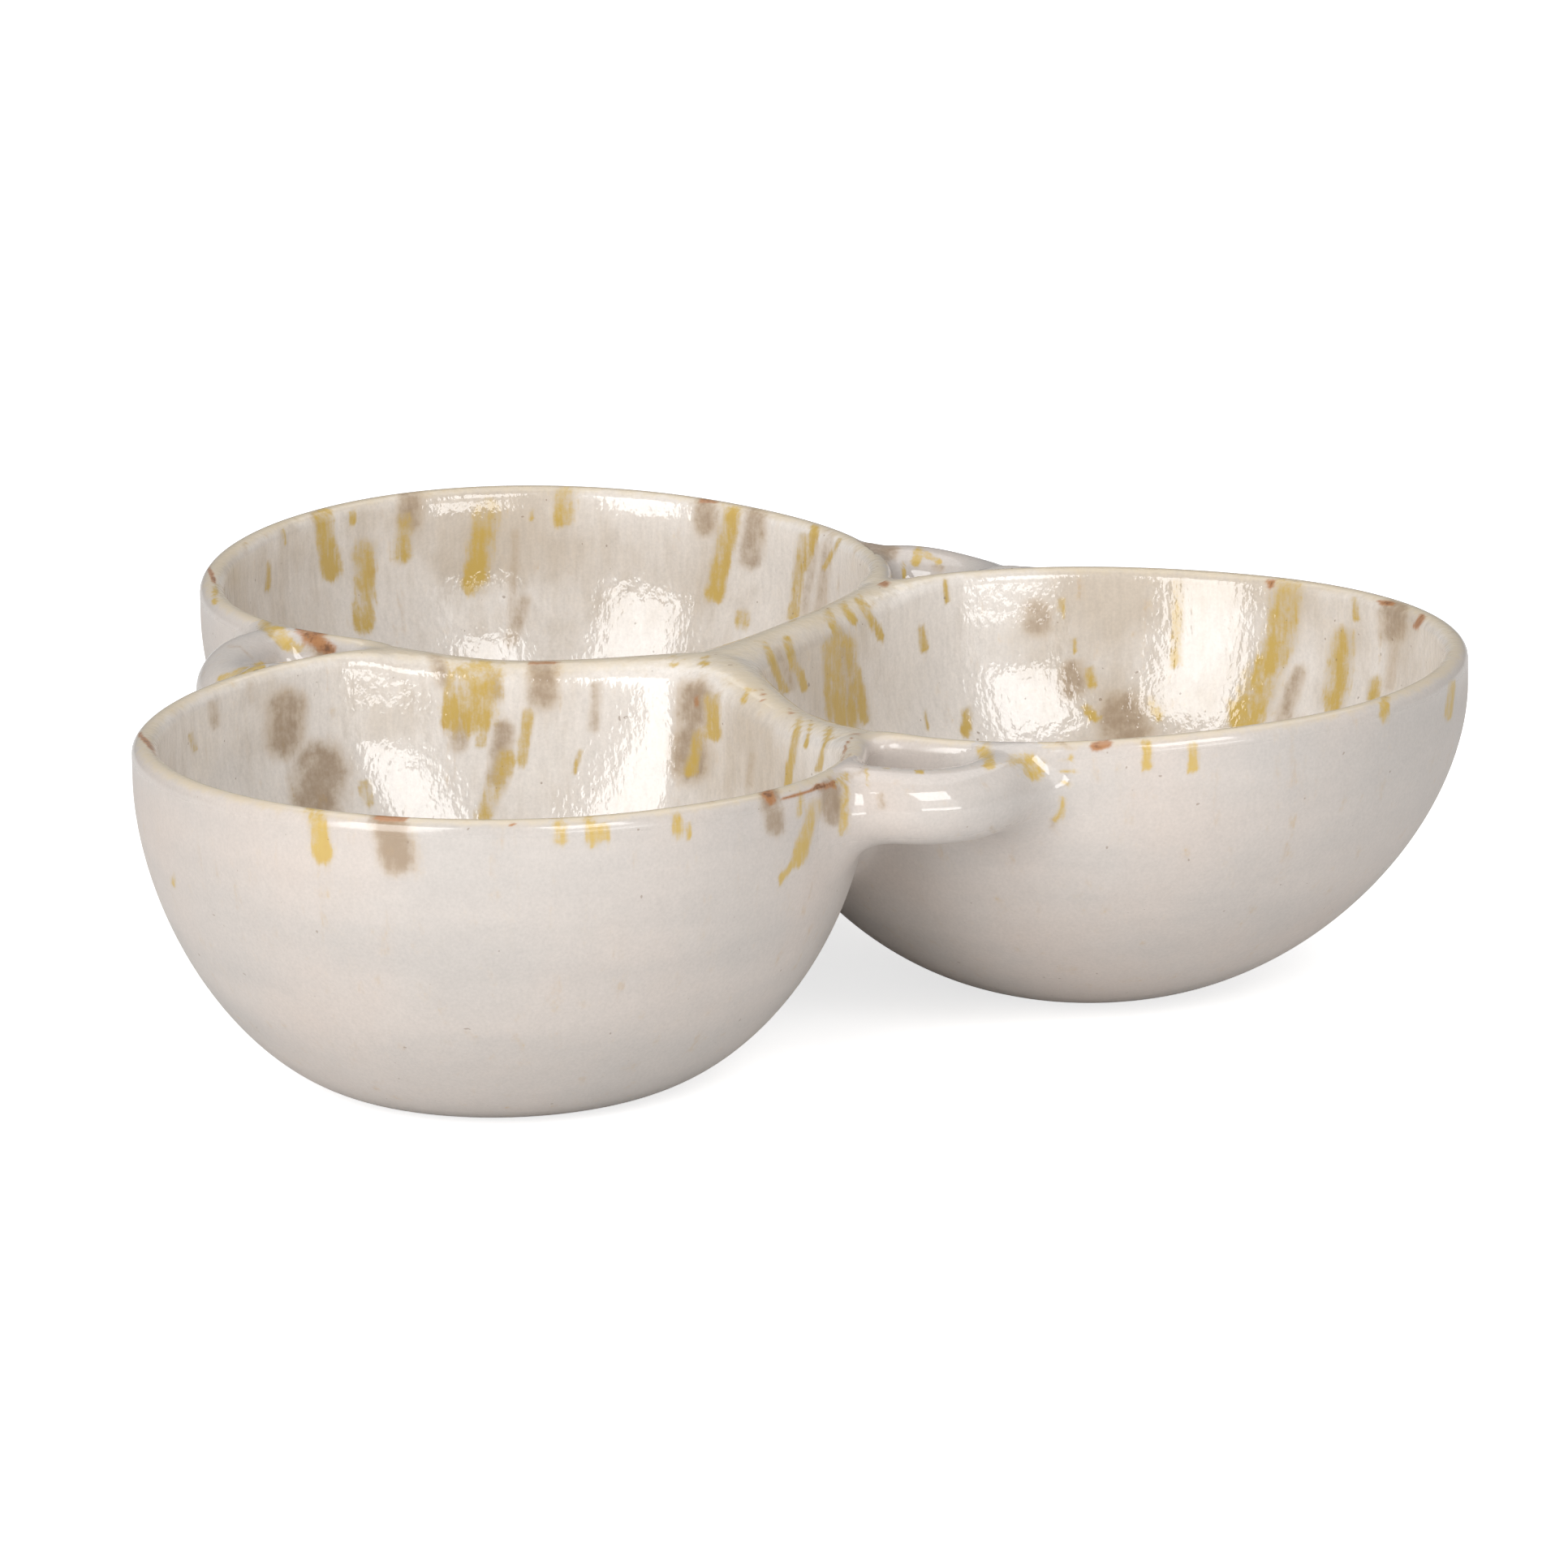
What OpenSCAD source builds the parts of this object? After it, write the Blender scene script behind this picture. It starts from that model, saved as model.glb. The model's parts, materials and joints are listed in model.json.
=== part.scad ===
// Divided serving bowl: three round stoneware bowls luted together in a trefoil, with a pulled
// loop handle across each of the three notches between them. Millimetres, +Z up. It stands on
// z = 0, and the origin is under the middle of its outline.

/* [Bowls] */
// Radius of a bowl at the crest of its lip
lip_r = 65; // [55:0.5:85]
// Height of the rim where two bowls meet
rim_h = 63.7; // [54:0.1:80]
// How far a lip reaches past the plane where it meets its neighbour
lip_overlap = 3.5; // [2.5:0.1:6]
// Thickness of the rounded lip
lip_t = 4.8; // [3.5:0.1:6.5]
// Thickness of the floor over the foot
floor_t = 6; // [4:0.5:9]
// Radius of the foot of the front bowl
front_foot_r = 29; // [18:0.5:32]
// Radius of the foot of the back bowl
back_foot_r = 24; // [18:0.5:32]
// Radius of the foot of the right bowl, which has the roundest bottom
right_foot_r = 14; // [12:0.5:30]
// Width of the flat ring of floor that the wall rises from, inside the foot's radius
heel_w = 11; // [8:0.5:12]

/* [Shared walls] */
// Half the width of the ridge on top of a shared wall
ridge_half = 4.8; // [3.8:0.1:6.5]
// Dip of the ridge between the right and back bowls
right_back_dip = 1.3; // [0:0.1:6]
// Dip of the ridge between the back and front bowls
back_front_dip = 3.3; // [0:0.1:6]
// Dip of the ridge between the front and right bowls
front_right_dip = 2.2; // [0:0.1:6]
// Rise of the peak in the middle, where the three ridges meet
peak_rise = -0.3; // [-1.5:0.1:2]
// Radius that softens the corner between a shared wall and a bowl's own wall
corner_soft = 8; // [4:0.5:12]
// Radius of the slip that fills the corner where two round walls meet at a notch
notch_fillet_r = 3.5; // [2:0.5:5]

/* [Made by hand] */
// How far the outer side of the right bowl stands out of round
right_out = 3.4; // [-4:0.1:4]
// How far the outer side of the back bowl stands out of round
back_out = -0.7; // [-4:0.1:4]
// How far the outer side of the front bowl stands out of round
front_out = -0.6; // [-4:0.1:4]
// How far the right bowl leans out on its left-hand side, seen from the middle
right_skew = 0.4; // [-4:0.1:4]
// How far the back bowl leans out on its left-hand side, seen from the middle
back_skew = -0.5; // [-4:0.1:4]
// How far the front bowl leans out on its left-hand side, seen from the middle
front_skew = 1.1; // [-4:0.1:4]
// Rise of the right bowl's rim on its outer side
right_lift = 1.1; // [-1:0.1:5]
// Rise of the back bowl's rim on its outer side
back_lift = 4.2; // [-1:0.1:5]
// Rise of the front bowl's rim on its outer side
front_lift = 1.2; // [-1:0.1:5]
// Rise of the rim at the notch behind the back handle
back_notch_rise = 1.2; // [-3:0.1:3]
// Rise of the rim at the notch behind the left handle
left_notch_rise = 1.7; // [-3:0.1:3]
// Rise of the rim at the notch behind the front handle
front_notch_rise = -1.8; // [-3:0.1:3]

/* [Handles] */
// Radius of the pulled clay of a handle
handle_r = 6.8; // [5:0.1:9]
// Depth of the finger gap, from the corner where the two walls meet to a handle
finger_gap = 20.5; // [16:0.5:26]
// Radius of the bend that a handle's centre line follows
handle_bend_r = 20; // [16:0.5:28]
// How much wider a handle is where it is pressed onto a wall
root_flare = 4; // [0:0.1:5]
// How far the back handle sits towards the back bowl
back_handle_slide = 3; // [-5:0.5:5]
// How far the top of the back handle lies below the rim
back_handle_drop = -0.3; // [-1:0.1:8]
// How far the back handle climbs from its middle to its end on the back bowl
back_handle_climb = 2; // [-3:0.1:3]
// How far the left handle sits towards the front bowl
left_handle_slide = 0; // [-5:0.5:5]
// How far the top of the left handle lies below the rim
left_handle_drop = -0.6; // [-1:0.1:8]
// How far the left handle climbs from its middle to its end on the front bowl
left_handle_climb = -2; // [-3:0.1:3]
// How far the front handle sits towards the right bowl
front_handle_slide = 3; // [-5:0.5:5]
// How far the top of the front handle lies below the rim
front_handle_drop = 2.8; // [-1:0.1:8]
// How far the front handle climbs from its middle to its end on the right bowl
front_handle_climb = 0; // [-3:0.1:3]
// Thickness of the slip between a handle and the wall that it is pressed onto
slip_t = 0.15; // [0.1:0.01:0.3]
// How far the top of a handle's root lies below the crest of the lip
root_cover = 0.3; // [0:0.1:2]

/* [Hidden] */

// Order in every list of bowls: right, back, front, each a third of a turn from the last.
foot_r = [right_foot_r, back_foot_r, front_foot_r];
out_of_round = [right_out, back_out, front_out];
skew = [right_skew, back_skew, front_skew];
lift = [right_lift, back_lift, front_lift];

// Order in every list of notches, ridges and handles: back, left, front. Each follows the bowl
// with the same number.
dip = [right_back_dip, back_front_dip, front_right_dip];
notch_rise = [back_notch_rise, left_notch_rise, front_notch_rise];
slide = [back_handle_slide, left_handle_slide, front_handle_slide];
drop = [back_handle_drop, left_handle_drop, front_handle_drop];
climb = [back_handle_climb, left_handle_climb, front_handle_climb];

// Glaze and clay as they show
glaze_colour = [0.80, 0.77, 0.74];
handle_colour = [0.83, 0.80, 0.76];

// Plan: the mitre planes lie half_pitch from each bowl's centre, square to the line between two
// centres, and all meet on the axis of the trefoil, which is spread away from each centre.
third_turn = 120;
mitre_angle = 150;
fan_half = 180 - mitre_angle;
half_pitch = lip_r - lip_overlap;
spread = half_pitch / cos(fan_half);
belly_r = lip_r + lip_t / 2;
notch_n = spread * sin(fan_half) + sqrt(belly_r * belly_r - half_pitch * half_pitch);
lip_fillet_m = belly_r + notch_fillet_r;

// Shares and powers that draw a bowl's wall. A power of 2 twice over would be a quarter ellipse.
// Then the angles, from a bowl's outer side, where what the hand did fades out and the notches'
// own level comes in, and how far the middle's fill overruns the lips.
belly_share = 0.88;
wall_power = 1.79;
wall_root_power = 1.66;
cavity_power = 2;
cavity_root_power = 2;
web_start_share = 0.6;
web_full_share = 0.8;
fillet_start_share = 0.5;
fillet_full_share = 0.7;
hand_reach_angle = 112;
notch_start_angle = 60;
notch_full_angle = 120;
least_cos_share = 0.05;
web_over = 3;

// Rings and the steps round a ring: the bowl's own arc, the notch's fillet, the shared wall and
// the middle
arc_steps = 24;
fillet_steps = 3;
flat_steps = 7;
middle_steps = 3;
notch_steps = arc_steps + fillet_steps;
half_steps = notch_steps + flat_steps + middle_steps;
ring_steps = 2 * half_steps;
wall_rings = 11;
lip_share = 1 - lip_t / 2 / rim_h;
cavity_rings = 9;
lip_angles = [30, 60, 90];
inner_lip_angles = [60, 30, 0];
ring_power = 1.6;
least_fillet_angle = 2;
least_flat_angle = 10;
last_flat_angle = 168;

// A soft step from 0 to 1, the smaller of two lengths with its corner rounded over k, and a mix
function soft_step(x) = let(s = min(1, max(0, x))) s * s * (3 - 2 * s);
function soft_min(a, b, k) = let(h = max(0, k - abs(a - b)) / k) min(a, b) - h * h * k / 4;
function mix(a, b, s) = a + (b - a) * s;

// 1 on the side of a bowl that faces away from the middle, fading to 0 before the notches
function outer_side(th) = soft_step(1 - abs(th) / hand_reach_angle);

// Distance from a bowl's centre, along angle th, to the plane at distance d whose foot lies at
// mitre_angle; very far where the ray runs away from it. And the distance to the nearer of the
// two planes, on either side.
function plane_at(th, d) = d / max(cos(th - mitre_angle), least_cos_share);
function to_plane(th, d) = min(plane_at(th, d), plane_at(-th, d));

// Crest radius of a bowl's own lip, with what the hand added to it
function lip_at(b, th) =
    lip_r + (out_of_round[b] + skew[b] * sin(th)) * outer_side(th);

// How far the wall has opened, 0 at the foot and 1 at the belly, at a share s of the height
function opened(s, power, root) =
    pow(1 - pow(1 - min(1, s / belly_share), power), 1 / root);

// Outside of a bowl's wall, and its cavity, at a share s of the height
function wall_at(b, th, s) =
    mix(foot_r[b], lip_at(b, th) + lip_t / 2, opened(s, wall_power, wall_root_power));
function cavity_at(b, th, s) =
    let(own = mix(foot_r[b] - heel_w, lip_at(b, th) - lip_t / 2,
                  opened(s, cavity_power, cavity_root_power)),
        near = plane_at(th, half_pitch - ridge_half),
        far = plane_at(-th, half_pitch - ridge_half))
    soft_min(own, soft_min(near, far, corner_soft), corner_soft);

// Clay that fills the middle between the three round walls, from web_start_share upwards
function web_at(s) = (spread - lip_r + web_over)
    * soft_step((s - web_start_share) / (web_full_share - web_start_share));

// Slip that fills the corner at a notch: an arc whose centre lies on the mitre plane, at distance m
// from the centres of both bowls, so it touches a wall of radius r with a radius of m - r. These
// give its radius at a share s of the height, the angle where it leaves the wall, how far along
// the plane from the mitre's foot it ends, and the wall's radius with the corner filled.
function fillet_at(s) = notch_fillet_r
    * soft_step((s - fillet_start_share) / (fillet_full_share - fillet_start_share));
function fillet_from(m) = mitre_angle - acos(min(1, half_pitch / m));
function fillet_end(r, m) = sqrt(max(0, m * m - half_pitch * half_pitch)) - (m - r);
function filled(r, th, m) =
    let(turn = abs(th) - fillet_from(m), f = m - r, off = m * sin(turn))
    turn <= 0 || abs(th) > mitre_angle ? r
    : off < f ? m * cos(turn) - sqrt(f * f - off * off)
    : spread;

// Height of the rim: lifted on the outer side, raised at the notches, dipped along each shared
// wall, with a level of its own in the middle, where the three ridges meet
function notch_at(b, th) = th > 0 ? b : (b + 2) % 3;
function fan_share(th) = (abs(th) - mitre_angle) / fan_half;
function near_notch(th) =
    soft_step((abs(th) - notch_start_angle) / (notch_full_angle - notch_start_angle))
    * (1 - soft_step(fan_share(th)));
function ridge_bump(th) =
    let(x = fan_share(th)) abs(x) < 1 ? pow(1 - x * x, 2) : 0;
function top_at(b, th) =
    rim_h + lift[b] * outer_side(th)
    + notch_rise[notch_at(b, th)] * near_notch(th)
    - dip[notch_at(b, th)] * ridge_bump(th)
    + peak_rise * soft_step(fan_share(th));

// Angle of step i round a ring whose fillet starts at angle first, and whose shared wall runs from
// angle near to angle far
function half_angle(i, first, near, far) =
    i <= arc_steps ? first * i / arc_steps
    : i <= notch_steps ? mix(first, near, (i - arc_steps) / fillet_steps)
    : i <= notch_steps + flat_steps ? mix(near, far, (i - notch_steps) / flat_steps)
    : mix(far, 180, (i - notch_steps - flat_steps) / middle_steps);

// Where a wall of radius r leaves the mitre plane, on the notch's side and towards the middle
function flat_near(r, m) =
    mitre_angle - max(least_flat_angle, atan(fillet_end(r, m) / half_pitch));
function flat_far(r) =
    min(last_flat_angle, mitre_angle + max(least_flat_angle, acos(min(1, half_pitch / r))));

// Angle of step i round a ring of radius r that has its fillet's centre at distance m
function ring_angle(i, r, m, far) =
    let(near = flat_near(r, m), first = min(fillet_from(m), near - least_fillet_angle))
    i <= half_steps ? half_angle(i, first, near, far)
    : -half_angle(ring_steps - i, first, near, far);

// One vertex, from its angle, its radius and its height
function vertex(th, r, z) = [r * cos(th), r * sin(th), z];

// Ring of the outer wall at a share u of the way up to the lip
function wall_ring(b, u) =
    let(s = u * lip_share,
        plain = mix(foot_r[b], belly_r, opened(s, wall_power, wall_root_power)),
        m = plain + fillet_at(s),
        web = web_at(s))
    [for (i = [0:ring_steps - 1])
        let(th = ring_angle(i, plain, m, flat_far(plain + web)),
            r = filled(wall_at(b, th, s), th, m) + (abs(th) > mitre_angle ? web : 0))
        vertex(th, min(r, to_plane(th, half_pitch)), u * (top_at(b, th) - lip_t / 2))];

// Ring of the outer half of the lip, at an angle round its rounded section
function lip_ring(b, a) =
    let(out = lip_t / 2 * cos(a))
    [for (i = [0:ring_steps - 1])
        let(th = ring_angle(i, lip_r + out, lip_fillet_m, last_flat_angle),
            r = filled(lip_at(b, th) + out, th, lip_fillet_m) + (abs(th) > mitre_angle ? spread : 0))
        vertex(th, min(r, to_plane(th, half_pitch)), top_at(b, th) - lip_t / 2 * (1 - sin(a)))];

// Crest of the rim, which follows the mitre planes along the shared walls, and how far in from it
// the cavity starts
function crest_at(b, th) =
    min(filled(lip_at(b, th), th, lip_fillet_m) + (abs(th) > mitre_angle ? spread : 0),
        to_plane(th, half_pitch));
function crest_in(b, th) = crest_at(b, th) - cavity_at(b, th, 1);

// Ring of the inner half of the lip or ridge, and ring of the cavity at a share s of its depth
function inner_lip_ring(b, a) =
    [for (i = [0:ring_steps - 1])
        let(th = ring_angle(i, lip_r, lip_fillet_m, last_flat_angle), w = crest_in(b, th))
        vertex(th, crest_at(b, th) - w * cos(a), top_at(b, th) - w * (1 - sin(a)))];
function cavity_ring(b, s) =
    [for (i = [0:ring_steps - 1])
        let(th = ring_angle(i, lip_r, lip_fillet_m, last_flat_angle))
        vertex(th, cavity_at(b, th, s),
            mix(floor_t, top_at(b, th) - crest_in(b, th), s))];

// A closed skin through rings of n vertices each, with a vertex in the middle of both ends
function skin_faces(rings, n) = [
    for (k = [0:rings - 2]) for (i = [0:n - 1])
        let(a = k * n + i, b = k * n + (i + 1) % n) each [[a, a + n, b + n], [a, b + n, b]],
    for (i = [0:n - 1]) [rings * n, i, (i + 1) % n],
    for (i = [0:n - 1])
        [rings * n + 1, (rings - 1) * n + (i + 1) % n, (rings - 1) * n + i]
];
module skin(rings, first_end, last_end) {
    polyhedron([for (r = rings) each r, first_end, last_end],
        skin_faces(len(rings), len(rings[0])), convexity = 6);
}

// The origin is moved from the trefoil's axis to the middle of the outline
function side_of(b, turn) = belly_r + (out_of_round[b] + skew[b] * sin(turn)) * outer_side(turn);
left_side = -spread / 2 - max(side_of(1, third_turn / 2), side_of(2, -third_turn / 2));
right_side = spread + side_of(0, 0);
back_side = half_pitch + side_of(1, -third_turn / 4);
front_side = -half_pitch - side_of(2, third_turn / 4);
axis_at = [-(left_side + right_side) / 2, -(back_side + front_side) / 2, 0];

// Bowl b, thrown round and then cut back to its two mitre planes
module bowl(b) {
    rings = [
        for (k = [0:wall_rings - 1]) wall_ring(b, pow(k / (wall_rings - 1), ring_power)),
        for (a = lip_angles) lip_ring(b, a),
        for (a = inner_lip_angles) inner_lip_ring(b, a),
        for (k = [1:cavity_rings]) cavity_ring(b, pow(1 - k / cavity_rings, ring_power))
    ];
    translate(axis_at) rotate(third_turn * b) translate([spread, 0, 0])
        skin(rings, [0, 0, 0], [0, 0, floor_t]);
}

// Handle b crosses the notch between bowl b and the next one. In the notch's own frame n runs
// outwards from the trefoil's axis and t runs across, towards the next bowl.
handle_sides = 14;
handle_rings = 11;
root_shares = [0.3, 0.55, 0.78, 0.92, 1];
handle_turn = 38;
root_angle = 101;
flare_power = 2.5;
handle_n = notch_n + finger_gap + handle_r;

// Centre line and section: a round tube that climbs along t, and keeps its top level while it
// flares downwards
function line_at(a) = [handle_n - handle_bend_r * (1 - cos(a)), handle_bend_r * sin(a)];
function level_at(b, a) = rim_h - drop[b] - handle_r + climb[b] * sin(a);
function section_at(b, a, i, flare) =
    let(f = -360 * i / handle_sides, c = line_at(a), r = handle_r + flare)
    [c[0] + r * cos(f) * cos(a), c[1] + r * cos(f) * sin(a), level_at(b, a) - flare + r * sin(f)];

// The direction in which a root leaves the bend on one side, 1 or -1, and the way that a point p
// goes along it until it lies on the wall of the bowl on that side. The wall's angle there is first
// taken as root_angle, and then as what that gives.
function root_dir(side) = [-sin(handle_turn), side * cos(handle_turn), 0];
function from_centre(b, side, p) =
    [p[0] - spread * sin(fan_half), p[1] - side * half_pitch + slide[b], 0];
function way_to_circle(q, dir, r) =
    let(along = q * dir) -along - sqrt(max(0, along * along - q * q + r * r));
function way_at(b, side, p, th) =
    let(bowl_side = side > 0 ? (b + 1) % 3 : b,
        s = p[2] / (top_at(bowl_side, th) - lip_t / 2) * lip_share)
    way_to_circle(from_centre(b, side, p), root_dir(side), wall_at(bowl_side, th, s) + slip_t);
function way_to_wall(b, side, p) =
    let(q = from_centre(b, side, p) + way_at(b, side, p, -side * root_angle) * root_dir(side))
    way_at(b, side, p, atan2(q[1], q[0]) - side * third_turn / 2);

// A root climbs or falls on its way, so that its top ends root_cover below the crest of the lip
function root_rise(b, side) =
    top_at(side > 0 ? (b + 1) % 3 : b, -side * root_angle) - root_cover - handle_r
    - level_at(b, side * handle_turn);
function on_root(b, side, p, share) =
    let(q = p + [0, 0, share * root_rise(b, side)])
    q + share * way_to_wall(b, side, q) * root_dir(side);

// Ring of a root, and the middle of its face on the wall
function root_ring(b, side, share) =
    [for (i = [0:handle_sides - 1])
        on_root(b, side,
            section_at(b, side * handle_turn, i, root_flare * pow(share, flare_power)), share)];
function root_middle(b, side) =
    let(a = side * handle_turn, c = line_at(a))
    on_root(b, side, [c[0], c[1], level_at(b, a) - root_flare], 1);

module handle(b) {
    rings = [
        for (k = [len(root_shares) - 1:-1:0]) root_ring(b, -1, root_shares[k]),
        for (k = [0:handle_rings - 1])
            [for (i = [0:handle_sides - 1])
                section_at(b, mix(-handle_turn, handle_turn, k / (handle_rings - 1)), i, 0)],
        for (share = root_shares) root_ring(b, 1, share)
    ];
    translate(axis_at) rotate(third_turn * b + third_turn / 2) translate([0, slide[b], 0])
        skin(rings, root_middle(b, -1), root_middle(b, 1));
}

module right_bowl() { color(glaze_colour) bowl(0); }
module back_bowl() { color(glaze_colour) bowl(1); }
module front_bowl() { color(glaze_colour) bowl(2); }
module back_handle() { color(handle_colour) handle(0); }
module left_handle() { color(handle_colour) handle(1); }
module front_handle() { color(handle_colour) handle(2); }

right_bowl();
back_bowl();
front_bowl();
back_handle();
left_handle();
front_handle();
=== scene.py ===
# %% [markdown]
# # A divided serving bowl in glazed stoneware
# The real object is three thrown bowls. The potter cuts two straight sides on each while the clay
# is leather hard, joins them with slip into a trefoil and bridges each notch with a pulled loop of
# clay. One pale glaze then covers everything, splashed along the rims with ochre and brown, and
# the fire melts the seams away. So the lesson is about smooth joins: every surface below is a
# formula on a grid of two parameters, and neighbours share one formula where they meet.

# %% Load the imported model
import json
import bpy
import numpy as np
from mathutils import Matrix, Vector


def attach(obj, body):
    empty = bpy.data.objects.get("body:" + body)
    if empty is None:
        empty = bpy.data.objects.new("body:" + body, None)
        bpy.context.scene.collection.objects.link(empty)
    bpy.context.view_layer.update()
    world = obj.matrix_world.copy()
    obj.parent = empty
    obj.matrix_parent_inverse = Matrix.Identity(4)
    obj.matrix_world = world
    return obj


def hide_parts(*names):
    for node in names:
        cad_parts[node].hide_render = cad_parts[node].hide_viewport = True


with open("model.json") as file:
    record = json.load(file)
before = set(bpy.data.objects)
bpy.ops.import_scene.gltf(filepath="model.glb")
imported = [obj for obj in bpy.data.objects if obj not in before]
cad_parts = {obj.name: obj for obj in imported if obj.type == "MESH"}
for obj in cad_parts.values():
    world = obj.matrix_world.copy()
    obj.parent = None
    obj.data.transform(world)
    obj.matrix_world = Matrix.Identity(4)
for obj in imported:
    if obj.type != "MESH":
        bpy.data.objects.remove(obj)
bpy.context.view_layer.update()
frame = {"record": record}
MM = 0.001

# %% [markdown]
# ## The camera
# A product photograph of a low object is taken from far away with a long lens, so that rims stay
# calm ellipses. The tilt was found from the rims: only one tilt makes all of them round in plan.
# The camera is made first, because the glaze marks are placed by the pixel at which they show.

# %% Camera of the photograph
PHOTO_PX = 1932
FOCAL_PX = 11810
SENSOR_MM = 36
TILT = np.radians(14.56)
HEADING = np.radians(2.80)
ROLL = np.radians(-0.89)
AIM = np.array([-1.9, -91.9, 62.0])
REACH = 1710.0


def camera_axes():
    """Right, up and forward of the camera: it looks along its heading, tilted down, and is then
    rolled about its own line of sight."""
    forward = np.array([
        -np.sin(HEADING) * np.cos(TILT), np.cos(HEADING) * np.cos(TILT), -np.sin(TILT)])
    level = np.array([np.cos(HEADING), np.sin(HEADING), 0.0])
    upright = np.cross(level, forward)
    right = np.cos(ROLL) * level + np.sin(ROLL) * upright
    up = np.cos(ROLL) * upright - np.sin(ROLL) * level
    return right, up, forward


RIGHT, UP, FORWARD = camera_axes()
EYE = AIM - REACH * FORWARD

camera = bpy.data.objects.new("camera", bpy.data.cameras.new("camera"))
camera.data.sensor_width = SENSOR_MM
camera.data.lens = FOCAL_PX / PHOTO_PX * SENSOR_MM
camera.data.clip_start = 0.1
camera.matrix_world = Matrix.Translation(Vector(EYE * MM)) @ Matrix(
    (Vector(RIGHT), Vector(UP), Vector(-FORWARD))).transposed().to_4x4()
bpy.context.scene.collection.objects.link(camera)
bpy.context.scene.camera = camera
print("camera at", [round(v, 3) for v in EYE * MM], "m, lens", round(camera.data.lens, 1), "mm")


def to_photo(points):
    """Pixel of the photograph at which each point in mm shows: right and down from its corner."""
    seen = points - EYE
    depth = seen @ FORWARD
    return np.stack([PHOTO_PX / 2 + FOCAL_PX * (seen @ RIGHT) / depth,
                     PHOTO_PX / 2 - FOCAL_PX * (seen @ UP) / depth], -1)


# %% [markdown]
# ## The plan
# Three equal bowls touch in pairs, so their centres make a triangle with equal sides. The model
# gives the middle of each foot, and that is all the plan needs: the seams are the lines halfway
# between two centres, and the three of them meet on the axis of the trefoil.

# %% Centres, seams and notches
SIDES = ("right", "back", "front")
BOWLS = ("right_bowl", "back_bowl", "front_bowl")
HANDLES = ("back_handle", "left_handle", "front_handle")
feet = {mount["name"]: mount["pos_m"] for mount in frame["record"]["mounts"]}
centres = np.array([feet[side + "_foot"][:2] for side in SIDES]) / MM
axis = centres.mean(0)
HALF_PITCH = np.linalg.norm(centres[1] - centres[0]) / 2
# Degrees round a bowl, from its outer side to the line to a neighbour, and from there on to the
# middle of the trefoil.
MITRE = 150.0
FAN = 180.0 - MITRE
SPREAD = HALF_PITCH / np.cos(np.radians(FAN))
print("axis at", axis.round(2), "mm; from a bowl's centre to a seam", round(HALF_PITCH, 2), "mm")

# %% [markdown]
# ## The wall of a thrown bowl
# A thrown wall leaves the foot almost flat, turns up and is upright well below the rim. A power
# curve draws that with two numbers, where a ring of points would need a dozen. The hand shows in
# small amounts: a bowl that stands a little out of round, a rim that rises on one side. Angles
# round a bowl start at the side that faces away from the middle.

# %% Sizes of the bowls in mm
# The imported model's flat facets lie this far inside its true curves, and the looks follow them.
FACET_GAP = 0.02
TRUE_LIP_R, TRUE_RIM_H = 65.0, 63.7
LIP_R = TRUE_LIP_R - FACET_GAP
RIM_H = TRUE_RIM_H - FACET_GAP
LIP_T = 4.8
LIP_HALF = LIP_T / 2
FLOOR_T = 6.0
HEEL_W = 11.0
RIDGE_HALF = 4.8
CORNER_SOFT = 8.0
PEAK_RISE = -0.3
WEB_OVER = 3.0
WEB = SPREAD - LIP_R + WEB_OVER
# One value for each bowl: right, back and front.
FOOT_R = (14.0, 24.0, 29.0)
OUT = (3.4, -0.7, -0.6)
SKEW = (0.4, -0.5, 1.1)
LIFT = (1.1, 4.2, 1.2)
# One value for each seam and its notch: right to back, back to front and front to right.
DIP = (1.3, 3.3, 2.2)
NOTCH_RISE = (1.2, 1.7, -1.8)
# Degrees round a bowl at which its outer side ends, and at which the rise to a notch starts and
# over how many it grows.
OUTER_END = 112
NOTCH_FROM, NOTCH_SPAN = 60, 60
LEAST_COSINE = 0.05
TINY = 1e-9
# Shares of the height, and the power and root that bend a wall between foot and belly.
BELLY_SHARE = 0.88
LIP_SHARE = 1 - LIP_HALF / RIM_H
WALL_CURVE = (1.79, 1.66)
CAVITY_CURVE = (2.0, 2.0)


def soft_step(x):
    """A smooth climb from 0 to 1 as x goes from 0 to 1, level at both ends."""
    s = np.clip(x, 0, 1)
    return s * s * (3 - 2 * s)


def grown(x, start, span):
    """A smooth climb from 0 at start to 1 at start plus span."""
    return soft_step((x - start) / span)


def soft_min(a, b, k):
    """The smaller of two lengths, with the corner between them rounded over a width k."""
    h = np.maximum(0, k - np.abs(a - b)) / k
    return np.minimum(a, b) - h * h * k / 4


def mix(a, b, s):
    """The value a share s of the way from a to b."""
    return a + (b - a) * s


def wave(angle):
    """Sine of an angle in degrees."""
    return np.sin(np.radians(angle))


def outer_side(th):
    """1 on the side of a bowl that faces away from the middle, fading to 0 before the notches."""
    return soft_step(1 - np.abs(th) / OUTER_END)


def fan_share(th):
    """How far an angle is past the seam: 0 on the line to the neighbour, 1 towards the middle."""
    return (np.abs(th) - MITRE) / FAN


def at_notch(values, b, th):
    """The value of the notch or seam that lies on the side of angle th of bowl b."""
    return np.where(th > 0, values[b], values[(b + 2) % 3])


def plane_at(th, d):
    """Distance, along angle th, to the nearer of the two planes at d from the bowl's centre."""
    return d / np.maximum(np.cos(np.radians(np.abs(th) - MITRE)), LEAST_COSINE)


def opened(s, curve):
    """How far a wall has opened at a share s of its height: 0 at the foot and 1 at the belly."""
    power, root = curve
    return (1 - (1 - np.minimum(1, s / BELLY_SHARE)) ** power) ** (1 / root)


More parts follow.
